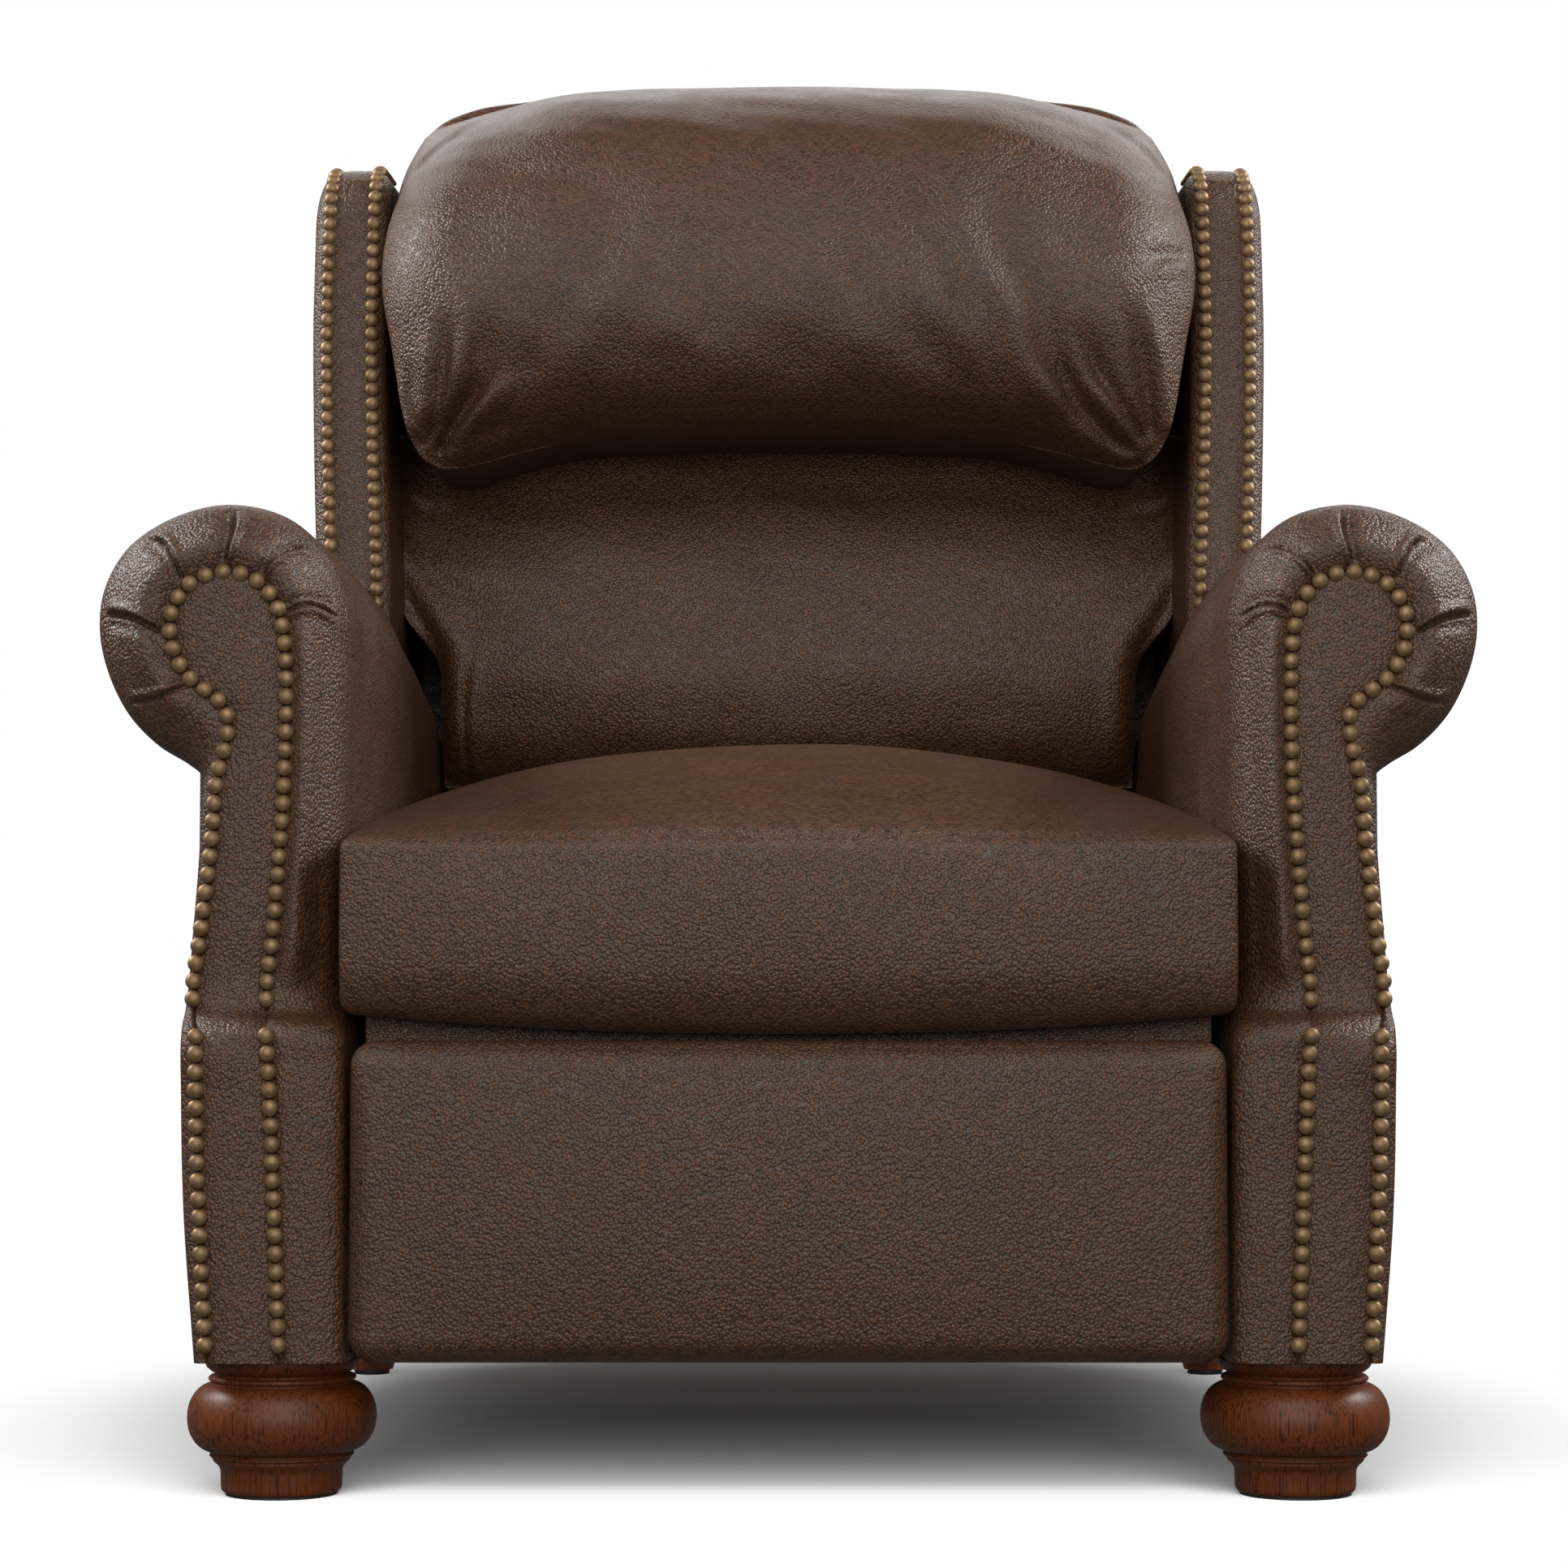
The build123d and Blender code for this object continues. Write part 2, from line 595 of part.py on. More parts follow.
def lumbar_cushion():
    side = [
        (98, 492), (58, 560), (50, 640), (80, 724), (216, 724), (189, 600), (189, 492),
    ]
    outline = [(266, 492), (266, 566), (308, 585), (308, 724)]
    return side_prism(side, -WING_INNER_X, WING_INNER_X) & front_outline(outline)


def head_cushion():
    side = [
        (40, 727), (-40, 790), (-60, 880), (-30, 960), (40, 1022), (130, 1052), (210, CUSHION_TOP_Z),
        (430, CUSHION_TOP_Z - 16), (422, 1029), (283, 1029), (214, 727),
    ]
    outline = [(272, 727), (300, 800), (309, 870), (306, 940), (290, 1000), (250, 1038), (200, 1060)]
    return side_prism(side, -WING_INNER_X, WING_INNER_X) & front_outline(outline)


def wing():
    y_low = wing_front_y(WING_BOTTOM_Z)
    y_high = wing_front_y(940)
    rear_low = back_rear_y(WING_BOTTOM_Z) - BACK_PANEL
    rear_high = back_rear_y(1003) - BACK_PANEL
    x = WING_INNER_X
    edges = [
        Line((x, y_low, WING_BOTTOM_Z), (x, y_high, 940)),
        ThreePointArc((x, y_high, 940), (x, 62, 968), (x, 98, 980)),
        Polyline((x, 98, 980), (x, rear_high, 1003), (x, rear_low, WING_BOTTOM_Z), (x, y_low, WING_BOTTOM_Z)),
    ]
    return extrude(make_face(edges), amount=WING_OUTER_X - WING_INNER_X, dir=(1, 0, 0))


def wing_nails():
    """Two rows up the front edge of a wing."""
    heads = []
    for x in (319, 353):
        low = (x, wing_front_y(600) - NAIL_HEIGHT / 2 - 0.1, 600)
        high = (x, wing_front_y(930) - NAIL_HEIGHT / 2 - 0.1, 930)
        heads += nail_row(Line(low, high), WING_NAIL_PITCH, WING_LEAN)
    return Compound(heads)


def outside_back_panel():
    slab = side_prism([
        (back_rear_y(BACK_BOTTOM_Z) - BACK_PANEL, BACK_BOTTOM_Z), (back_rear_y(BACK_BOTTOM_Z), BACK_BOTTOM_Z),
        (back_rear_y(CUSHION_TOP_Z), CUSHION_TOP_Z), (back_rear_y(CUSHION_TOP_Z) - BACK_PANEL, CUSHION_TOP_Z),
    ], -WING_OUTER_X, WING_OUTER_X)
    outline = [
        (BACK_HALF_LOW, BACK_BOTTOM_Z), (BACK_HALF_LOW, WING_BOTTOM_Z), (WING_OUTER_X, WING_BOTTOM_Z),
        (WING_OUTER_X, 978), (350, 1006), (300, 1027), (180, 1042), (60, BACK_TOP_Z),
    ]
    return slab & front_outline(outline)


# ---------------------------------------------------------------- files

save_pair("base_side_frame", base_side_frame())
across = (-SIDE_INNER_X, SIDE_INNER_X)
save("base_front_bar", box(across, FRONT_BAR_Y, (BASE_BOTTOM_Z, BASE_BOTTOM_Z + FRONT_BAR_HEIGHT)))
save("base_rear_panel", box(across, (BASE_REAR_Y - RAIL_WIDTH, BASE_REAR_Y), REAR_PANEL_Z))
save_pair("arm_roll", arm_roll())
save_pair("inside_arm", inside_arm())
save_pair("outside_arm", outside_arm())
save_pair("arm_front_panel", arm_front_panel())
save("arm_nails", both(arm_nails()))
save_pair("front_foot", front_foot())
save_pair("rear_foot", rear_leg())
save("foot_bolts", both(Compound([foot_bolt(FRONT_FOOT), foot_bolt(REAR_LEG_TOP)])))
save("foot_glides", both(Compound([glide(FRONT_FOOT, FRONT_GLIDE_R), glide(REAR_LEG_TOE, REAR_GLIDE_R)])))
save_pair("mechanism_rail", mechanism_rail())
save("rail_bolts", both(Compound(rail_bolts())))
for place, swing_y in (("front", FRONT_SWING_Y), ("rear", REAR_SWING_Y)):
    save_pair(f"{place}_swing_link", swing_link(swing_y))
    save(f"{place}_torque_tube", tube(SWING_X, up_swing(swing_y, TUBE_AT)))
save_pair("seat_plate", seat_plate())
save_pair("seat_side_rail", seat_side_rail())
save("seat_cross_rails", seat_cross_rails())
save("seat_springs", seat_springs())
save("seat_deck", seat_deck())
save("seat_cushion", seat_cushion())
save_pair("footrest_rear_link", footrest_rear_link())
save("footrest_cross_tube", tube(layer(1), along(REAR_PIVOT, REAR_LINK_ANGLE, CROSS_TUBE_AT)))
save_pair("footrest_mid_link", footrest_mid_link())
save_pair("footrest_control_link", footrest_control_link())
save_pair("footrest_guide_link", footrest_guide_link())
save_pair("footrest_bracket", footrest_bracket())
save("footrest_board", footrest_board())
save("footrest_pad", footrest_pad())
save_pair("back_side_rail", back_side_rail())
save("back_cross_rails", back_cross_rails())
save("back_brackets", both(back_bracket()))
save("back_springs", back_springs())
save("lumbar_cushion", lumbar_cushion())
save("head_cushion", head_cushion())
save_pair("wing", wing())
save("wing_nails", both(wing_nails()))
save("outside_back_panel", outside_back_panel())
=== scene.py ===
import json
import math

import bmesh
import bpy
import numpy as np
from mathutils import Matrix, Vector


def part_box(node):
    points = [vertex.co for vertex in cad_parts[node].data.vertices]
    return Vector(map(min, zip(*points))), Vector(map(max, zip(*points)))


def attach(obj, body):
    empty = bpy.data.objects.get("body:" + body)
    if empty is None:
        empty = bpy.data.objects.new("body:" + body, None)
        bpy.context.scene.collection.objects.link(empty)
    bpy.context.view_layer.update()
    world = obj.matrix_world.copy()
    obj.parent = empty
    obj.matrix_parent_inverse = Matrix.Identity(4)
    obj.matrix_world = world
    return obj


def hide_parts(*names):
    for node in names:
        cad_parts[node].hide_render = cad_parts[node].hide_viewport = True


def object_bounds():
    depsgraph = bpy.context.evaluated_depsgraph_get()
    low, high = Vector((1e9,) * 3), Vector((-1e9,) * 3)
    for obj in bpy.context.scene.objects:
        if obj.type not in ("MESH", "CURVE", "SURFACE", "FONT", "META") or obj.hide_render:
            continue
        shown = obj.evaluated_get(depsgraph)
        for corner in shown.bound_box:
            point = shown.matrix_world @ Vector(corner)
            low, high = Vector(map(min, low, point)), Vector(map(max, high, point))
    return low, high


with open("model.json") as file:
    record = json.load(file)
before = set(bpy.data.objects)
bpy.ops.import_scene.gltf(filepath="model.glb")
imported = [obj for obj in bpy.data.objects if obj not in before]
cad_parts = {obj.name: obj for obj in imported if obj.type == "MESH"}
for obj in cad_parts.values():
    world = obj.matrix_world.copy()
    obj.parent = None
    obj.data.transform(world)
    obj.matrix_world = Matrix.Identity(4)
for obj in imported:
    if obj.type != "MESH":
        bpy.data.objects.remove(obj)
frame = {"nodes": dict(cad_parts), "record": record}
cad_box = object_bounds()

# Shapes are in millimetres in the frame's axes, and turn to metres when a mesh is made. Finishes, lamps
# and the camera are in metres.
MM = 0.001


def box_mm(node):
    low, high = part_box(node)
    return np.array(low) / MM, np.array(high) / MM


FRONT = cad_box[0].y / MM
REAR = cad_box[1].y / MM


# ---------------- small tools

def ease(x, low=0.0, high=1.0):
    """0 below low, 1 above high, smooth between."""
    t = np.clip((np.asarray(x, float) - low) / (high - low), 0, 1)
    return t * t * (3 - 2 * t)


def hump(x, centre, width):
    return np.exp(-((np.asarray(x, float) - centre) / width) ** 2)


def at(x, points):
    """Smooth curve through (x, value) points, read at x."""
    px, py = np.array(points, float).T
    slope = np.gradient(py, px)
    x = np.clip(np.asarray(x, float), px[0], px[-1])
    i = np.clip(np.searchsorted(px, x, side="right") - 1, 0, len(px) - 2)
    h = px[i + 1] - px[i]
    t = (x - px[i]) / h
    a = (1 + 2 * t) * (1 - t) ** 2 * py[i] + t * (1 - t) ** 2 * h * slope[i]
    b = t * t * (3 - 2 * t) * py[i + 1] + t * t * (t - 1) * h * slope[i + 1]
    return a + b


def ripple(p, size, seed=0.0):
    """Gentle uneven waves of about that size, from -1 to 1, the same each run."""
    k = 2 * math.pi / size
    x, y, z = p[..., 0], p[..., 1], p[..., 2]
    a = np.sin(k * (x + 0.6 * y) + seed) * np.sin(k * 0.8 * (z - 0.3 * x) + 1.7 * seed)
    b = np.sin(k * 1.7 * (0.5 * x + z) + 2.1 + seed) * np.sin(k * 1.3 * (y + 0.4 * z) + 0.7 * seed)
    return 0.6 * a + 0.4 * b


def resample(points, count):
    """count points at equal steps along a polyline."""
    p = np.asarray(points, float)
    step = np.r_[0, np.cumsum(np.linalg.norm(np.diff(p, axis=0), axis=1))]
    where = np.linspace(0, step[-1], count)
    return np.stack([np.interp(where, step, p[:, k]) for k in range(p.shape[1])], 1)


def length_of(points):
    return float(np.linalg.norm(np.diff(np.asarray(points, float), axis=0), axis=1).sum())


def joined(x, y, z):
    """Points from their coordinates, any of which may be one number for all."""
    return np.stack(np.broadcast_arrays(x, y, z), -1)


def mirrored(p):
    return p * np.array([-1.0, 1.0, 1.0])


SIDES = ((1, "left"), (-1, "right"))


def make(name, points, faces, slot, body, side=1):
    """A smooth mesh piece from points in mm, in its slot's finish. side = -1 mirrors it to the right."""
    points = np.asarray(points, float).reshape(-1, 3)
    if side < 0:
        points = mirrored(points)
        faces = [f[::-1] for f in faces]
    mesh = bpy.data.meshes.new(name)
    mesh.from_pydata((points * MM).tolist(), [], [tuple(int(i) for i in f) for f in faces])
    bm = bmesh.new()
    bm.from_mesh(mesh)
    bmesh.ops.remove_doubles(bm, verts=bm.verts, dist=2e-5)
    bmesh.ops.dissolve_degenerate(bm, edges=bm.edges, dist=1e-6)
    bmesh.ops.delete(bm, geom=[v for v in bm.verts if not v.link_faces], context="VERTS")
    bm.to_mesh(mesh)
    bm.free()
    mesh.polygons.foreach_set("use_smooth", [True] * len(mesh.polygons))
    mesh.update()
    piece = bpy.data.objects.new(name, mesh)
    bpy.context.scene.collection.objects.link(piece)
    mesh.materials.append(FINISHES[slot])
    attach(piece, body)
    return piece


def grid_faces(rows, columns, closed=False, keep=None):
    """Quads of a grid of points, rows by columns. keep(row, column) may leave some out."""
    faces = []
    last = columns if closed else columns - 1
    for i in range(rows - 1):
        for j in range(last):
            if keep is None or keep(i, j):
                k = (j + 1) % columns
                faces.append((i * columns + j, i * columns + k, (i + 1) * columns + k, (i + 1) * columns + j))
    return faces


def cube_grid(nx, ny, nz):
    """Points on the surface of the cube from -1 to 1, closer together at the edges, and its quads."""
    def steps(n):
        s = np.linspace(-1, 1, n + 1)
        return s * (1.4 - 0.4 * s * s)
    axes = [steps(n) for n in (nx, ny, nz)]
    points, faces, start = [], [], 0
    for fixed in range(3):
        a, b = [k for k in range(3) if k != fixed]
        for side in (-1, 1):
            ga, gb = np.meshgrid(axes[a], axes[b], indexing="ij")
            p = np.empty(ga.shape + (3,))
            p[..., fixed] = side
            p[..., a] = ga
            p[..., b] = gb
            quads = np.array(grid_faces(len(axes[a]), len(axes[b]))) + start
            flip = (side > 0) == (fixed == 1)
            faces.append(quads[:, ::-1] if flip else quads)
            points.append(p.reshape(-1, 3))
            start += ga.size
    points = np.concatenate(points)
    faces = np.concatenate(faces)
    keys, index = np.unique(np.round(points, 6), axis=0, return_inverse=True)
    return keys, index.reshape(-1)[faces]


def rounded(p, half, radius):
    """Cube points mapped to a box of those half sizes whose edges are rounded to radius."""
    half = np.array(half, float)
    radius = np.minimum(np.asarray(radius, float), half)
    q = p * half
    core = np.clip(q, -(half - radius), half - radius)
    d = (q - core) / radius
    size = np.linalg.norm(d, axis=1, keepdims=True)
    return core + np.where(size > 1e-9, d / np.maximum(size, 1e-9), 0) * radius


NAIL_RADIUS, NAIL_HEIGHT = 5.5, 4.2


def nail_heads(name, places, normals, body):
    """Domed nail heads at places, each looking along its normal."""
    rings, around = 6, 20
    angle = np.linspace(0, 2 * math.pi, around, endpoint=False)
    profile = [(NAIL_RADIUS * 0.98, -1.2)]
    for k in range(rings):
        t = k / (rings - 1) * math.pi / 2 * 0.94
        profile.append((NAIL_RADIUS * math.cos(t), NAIL_HEIGHT * math.sin(t) ** 1.05))
    profile.append((0.0, NAIL_HEIGHT))
    quads = np.array(grid_faces(len(profile), around, closed=True))
    faces = np.concatenate([quads + k * len(profile) * around for k in range(len(places))])
    points = []
    for centre, n in zip(places, normals):
        n = n / np.linalg.norm(n)
        u = np.cross(n, [0.31, 0.2, 0.93])
        u /= np.linalg.norm(u)
        v = np.cross(n, u)
        ring = np.cos(angle)[:, None] * u + np.sin(angle)[:, None] * v
        for r, h in profile:
            points.append(centre + r * ring + h * n)
    return make(name, np.concatenate(points), faces, "antique_brass", body)


# ---------------- materials

LEATHER_DYES = [
    (0.34, (0.075, 0.0338, 0.0160)), (0.50, (0.083, 0.0372, 0.0173)), (0.66, (0.091, 0.0402, 0.0182))]
GRAIN_HEIGHT = 0.00085  # bump height of the hide's grain, metres
THREADS = 260.0  # wave scale of the woven cloth


def wire(tree, target, **values):
    """Link or set a node's inputs by name, underscores for spaces. Other names are the node's settings."""
    for key, value in values.items():
        label = key.replace("_", " ")
        if label not in target.inputs:
            setattr(target, key, value)
        elif isinstance(value, bpy.types.NodeSocket):
            tree.links.new(value, target.inputs[label])
        else:
            target.inputs[label].default_value = value
    return target


def node(tree, kind, **values):
    return wire(tree, tree.nodes.new("ShaderNode" + kind), **values)


def new_material(name):
    material = bpy.data.materials.new(name)
    material.use_nodes = True
    tree = material.node_tree
    return material, tree, tree.nodes["Principled BSDF"], node(tree, "TexCoord").outputs["Object"]


def ramp(tree, source, stops):
    made = node(tree, "ValToRGB", Fac=source)
    elements = made.color_ramp.elements
    while len(elements) < len(stops):
        elements.new(0.5)
    for element, (position, colour) in zip(elements, stops):
        element.position = position
        element.color = (*colour, 1)
    return made.outputs["Color"]


def noise(tree, place, scale, detail, **values):
    return node(tree, "TexNoise", Vector=place, Scale=scale, Detail=detail, **values).outputs


def multiply(tree, share, first, second):
    mix = node(tree, "MixRGB", blend_type="MULTIPLY", Fac=share, Color1=first, Color2=second)
    return mix.outputs["Color"]


def bump(tree, height, strength, distance, **under):
    return node(tree, "Bump", Height=height, Strength=strength, Distance=distance, **under).outputs["Normal"]


def leather():
    """Dark brown hide: fine grain cells with painted shade in their hollows, larger bluish pebbles in an
    orange-brown net, soft semi-gloss.
    """
    material, tree, shader, place = new_material("leather")
    shifted = node(tree, "VectorMath", operation="MULTIPLY_ADD")
    tree.links.new(noise(tree, place, 240.0, 2.0)["Color"], shifted.inputs[0])
    shifted.inputs[1].default_value = (0.0005, 0.0005, 0.0005)
    tree.links.new(place, shifted.inputs[2])
    uneven = shifted.outputs["Vector"]
    cells = node(tree, "TexVoronoi", Vector=uneven, Scale=460.0).outputs["Distance"]
    tops = ramp(tree, cells, [(0.0, (1, 1, 1)), (0.36, (0.8, 0.8, 0.8)), (0.75, (0, 0, 0))])
    fine = noise(tree, place, 900.0, 4.0, Roughness=0.6)["Fac"]
    height = node(tree, "MixRGB", blend_type="MIX", Fac=0.3, Color1=tops, Color2=fine).outputs["Color"]
    creases = noise(tree, place, 30.0, 5.0, Roughness=0.62)["Fac"]
    soft = bump(tree, creases, 0.07, 0.004)
    dye = ramp(tree, noise(tree, place, 8.0, 5.0, Roughness=0.65)["Fac"], LEATHER_DYES)
    pebbles = node(tree, "TexVoronoi", Vector=uneven, Scale=185.0).outputs["Distance"]
    net = ramp(tree, pebbles,
               [(0.06, (0.45, 0.55, 0.70)), (0.32, (0.78, 0.81, 0.86)), (0.62, (1.25, 1.06, 0.86))])
    # painted shade: the base colour darkens where the grain is low, in its hollows
    painted_hollow_shade = ramp(tree, height, [(0.20, (0.5, 0.5, 0.5)), (0.60, (1.05, 1.05, 1.05))])
    gloss = node(tree, "MapRange", Value=creases, From_Min=0.3, From_Max=0.7, To_Min=0.34, To_Max=0.44)
    wire(tree, shader, Base_Color=multiply(tree, 0.6, multiply(tree, 0.75, dye, net), painted_hollow_shade),
         Normal=bump(tree, height, 1.0, GRAIN_HEIGHT, Normal=soft), Roughness=gloss.outputs["Result"],
         Specular_IOR_Level=0.6)
    return material


def brass():
    """Antiqued nail brass: dull, a little uneven, darker where the lacquer pooled."""
    material, tree, shader, place = new_material("antique_brass")
    patina = noise(tree, place, 160.0, 4.0)["Fac"]
    colour = ramp(tree, patina, [(0.3, (0.20, 0.122, 0.058)), (0.7, (0.35, 0.228, 0.115))])
    wire(tree, shader, Base_Color=colour, Normal=bump(tree, patina, 0.2, 0.0004), Metallic=0.6, Roughness=0.5)
    return material


def wood(name, dark, light, across, along, roughness):
    """Wood with fine streaks: across and along are noise scales over and down the streaks."""
    material, tree, shader, place = new_material(name)
    stretch = node(tree, "Mapping", Vector=place, Scale=(along, along, across))
    streaks = noise(tree, stretch.outputs["Vector"], 1.0, 8.0, Roughness=0.62, Distortion=0.4)["Fac"]
    colour = ramp(tree, streaks, [(0.36, dark), (0.50, light), (0.66, dark)])
    wire(tree, shader, Base_Color=multiply(tree, 0.35, colour, noise(tree, place, 22.0, 3.0)["Color"]),
         Normal=bump(tree, streaks, 0.18, 0.0006), Roughness=roughness, Specular_IOR_Level=0.35)
    return material


def steel(name, dark, light, metallic, roughness):
    """Painted or plated steel, or plastic, with faint mottling and scuffs."""
    material, tree, shader, place = new_material(name)
    mottle = noise(tree, place, 55.0, 6.0, Roughness=0.7)["Fac"]
    wire(tree, shader, Base_Color=ramp(tree, mottle, [(0.35, dark), (0.65, light)]),
         Normal=bump(tree, mottle, 0.15, 0.0003), Metallic=metallic, Roughness=roughness)
    return material


def cloth(name, dark, light):
    """Plain woven cloth: two crossed thread waves lift the surface and vary its tone."""
    material, tree, shader, place = new_material(name)
    warp, weft = [node(tree, "TexWave", bands_direction=way, Vector=place, Scale=THREADS, Distortion=0.6)
                  for way in ("X", "Y")]
    weave = multiply(tree, 1.0, warp.outputs["Fac"], weft.outputs["Fac"])
    wire(tree, shader, Base_Color=ramp(tree, weave, [(0.1, dark), (0.7, light)]),
         Normal=bump(tree, weave, 0.5, 0.0005), Roughness=0.92)
    return material


FINISHES = {
    "leather": leather(),
    "antique_brass": brass(),
    "mahogany": wood("mahogany", (0.046, 0.0095, 0.0022), (0.215, 0.050, 0.0095), 16.0, 420.0, 0.42),
    "plywood": wood("plywood", (0.33, 0.21, 0.11), (0.60, 0.44, 0.27), 420.0, 9.0, 0.7),
    "black_steel": steel("black_steel", (0.012, 0.012, 0.013), (0.03, 0.03, 0.032), 0.2, 0.42),
    "zinc_steel": steel("zinc_steel", (0.36, 0.35, 0.32), (0.58, 0.57, 0.54), 0.9, 0.38),
    "deck_cloth": cloth("deck_cloth", (0.010, 0.009, 0.008), (0.040, 0.036, 0.032)),
    "glide_plastic": steel("glide_plastic", (0.020, 0.018, 0.016), (0.035, 0.031, 0.028), 0.0, 0.55),
}
for part in frame["record"]["subparts"]:
    shown = frame["nodes"][part["node"]]
    shown.data.materials.clear()
    shown.data.materials.append(FINISHES[part["material_slot"]])


# ---------------- arms

# The front of the left arm, from the bottom of its inner edge, over the scroll, to the bottom of its
# outer edge. Each knot: silhouette (x, z), nail line (x, z), depth behind FRONT of the silhouette and
# of the face, and the boxiness of the rounding between them.
ARM_KNOTS = np.array([
    (280.5, 89, 322.3, 89, 40, 17, 4),
    (282, 200, 327, 200, 40, 17, 4),
    (283, 280, 331, 280, 40, 17, 4),
    (283.5, 296, 332.3, 297, 44, 18, 3.6),
    (285, 304, 333, 304, 56, 23, 3),
    (288, 311, 334.4, 311, 76, 37, 2.3),
    (289, 320, 335.2, 320, 88, 40, 2.1),
    (289.5, 362, 331.5, 362, 94, 40, 2.05),
    (289.5, 410, 328, 410, 96, 40, 2.05),
    (289, 458, 325.2, 458, 96, 40, 2.05),
    (288.5, 500, 324, 505, 96, 40, 2.05),
    (288, 540, 325.5, 550, 94, 40, 2.05),
    (290, 578, 331.5, 575, 90, 40, 2.05),
    (301, 609, 341, 587, 84, 40, 2.05),
    (329, 635, 353.5, 593.4, 80, 40, 2.05),
    (365, 643.5, 366, 594.8, 78, 40, 2.05),
    (402, 635.5, 381, 591, 78, 40, 2.05),
    (433, 615, 393, 581, 78, 40, 2.05),
    (448, 589, 399.6, 566, 78, 40, 2.05),
    (451.5, 562, 398.3, 548, 78, 40, 2.05),
    (446, 534, 391.5, 532, 78, 40, 2.05),
    (431, 504, 379.5, 520.5, 78, 40, 2.05),
    (411, 484, 367.5, 511.5, 76, 40, 2.05),
    (392, 472.5, 361.6, 499, 72, 40, 2.1),
    (381.5, 464, 363, 484, 66, 40, 2.3),
    (380.5, 445, 368.2, 462, 58, 40, 2.5),
    (381, 415, 371.5, 420, 56, 40, 2.6),
    (384.5, 362, 377.8, 362, 56, 40, 2.6),
    (387.5, 322, 382.4, 322, 56, 40, 2.6),
    (388.5, 311, 381.5, 311, 52, 37, 2.6),
    (388.5, 303, 378.5, 303, 44, 24, 3),
    (388, 294, 377, 294, 37, 17.5, 3.5),
    (387.5, 260, 376.6, 260, 35, 17, 3.5),
    (385.5, 190, 374, 190, 35, 17, 3.5),
    (377.5, 89, 368.4, 89, 35, 17, 3.5),
], float)
SCROLL_CENTRE = np.array([364.0, 566.0])
PLEAT_ANGLES = (-38, 3, 46, 92, 138, 180)  # degrees round the scroll, 0 is outwards
PLEAT_BENDS = (-3.5, 2.5, 5.0, 3.0, -6.0, -7.0)
PLEAT_DEPTH = 8.0
ARM_NAIL_PITCH = 11.55
LEDGE = (301, 312)  # heights of the ledge over the block, which has no nails
FACE_DEPTH = 100  # the shaped front ends this far behind FRONT
ROLL_TOP = 643.5
ROLL_CAP = 34  # rounding of the roll's closed rear end
TAIL = 118  # from this depth back, the inner arm is only a thin tail
TAIL_FACE = 273.0  # and stays outside this width


def arm_columns(count):
    """The knots as smooth curves, at count columns."""
    step = np.linalg.norm(np.diff(ARM_KNOTS[:, :2], axis=0), axis=1)
    step += np.linalg.norm(np.diff(ARM_KNOTS[:, 2:4], axis=0), axis=1)
    where = np.r_[0, np.cumsum(step)]
    columns = np.linspace(0, where[-1], count)
    return np.stack([at(columns, list(zip(where, ARM_KNOTS[:, k]))) for k in range(7)], 1)


def scroll_angle(x, z):
    return np.degrees(np.arctan2(z - SCROLL_CENTRE[1], x - SCROLL_CENTRE[0]))


def pleat_fold(angle, out):
    """Depth of the pleats at an angle round the scroll; out is 0 at the silhouette and 1 at the nails."""
    deep = np.zeros_like(angle)
    for k, middle in enumerate(PLEAT_ANGLES):
        off = (angle - middle + 180) % 360 - 180
        bend = PLEAT_BENDS[k] * np.sin(math.pi * np.clip((out - 0.1) / 0.8, 0, 1))
        width = 0.75 + 0.9 * out
        slit = hump(off, bend, width)
        lip = 0.40 * hump(off, bend + 3.6, 2.6) - 0.30 * hump(off, bend - 4.5, 3.6)
        deep = deep + slit - lip
    reach = ease(out, 0.10, 0.26) * (1 - ease(out, 0.80, 0.93))
    return deep * reach


def roll_top(y):
    """Height of the inner arm's top: level along the roll, then falling to its rear."""
    return at(y, [(-382, ROLL_TOP), (-200, ROLL_TOP), (-110, 640), (-26, 625), (30, 609), (75, 590),
                  (110, 569), (128, 556), (165, 552), (190, 547), (205, 533)])


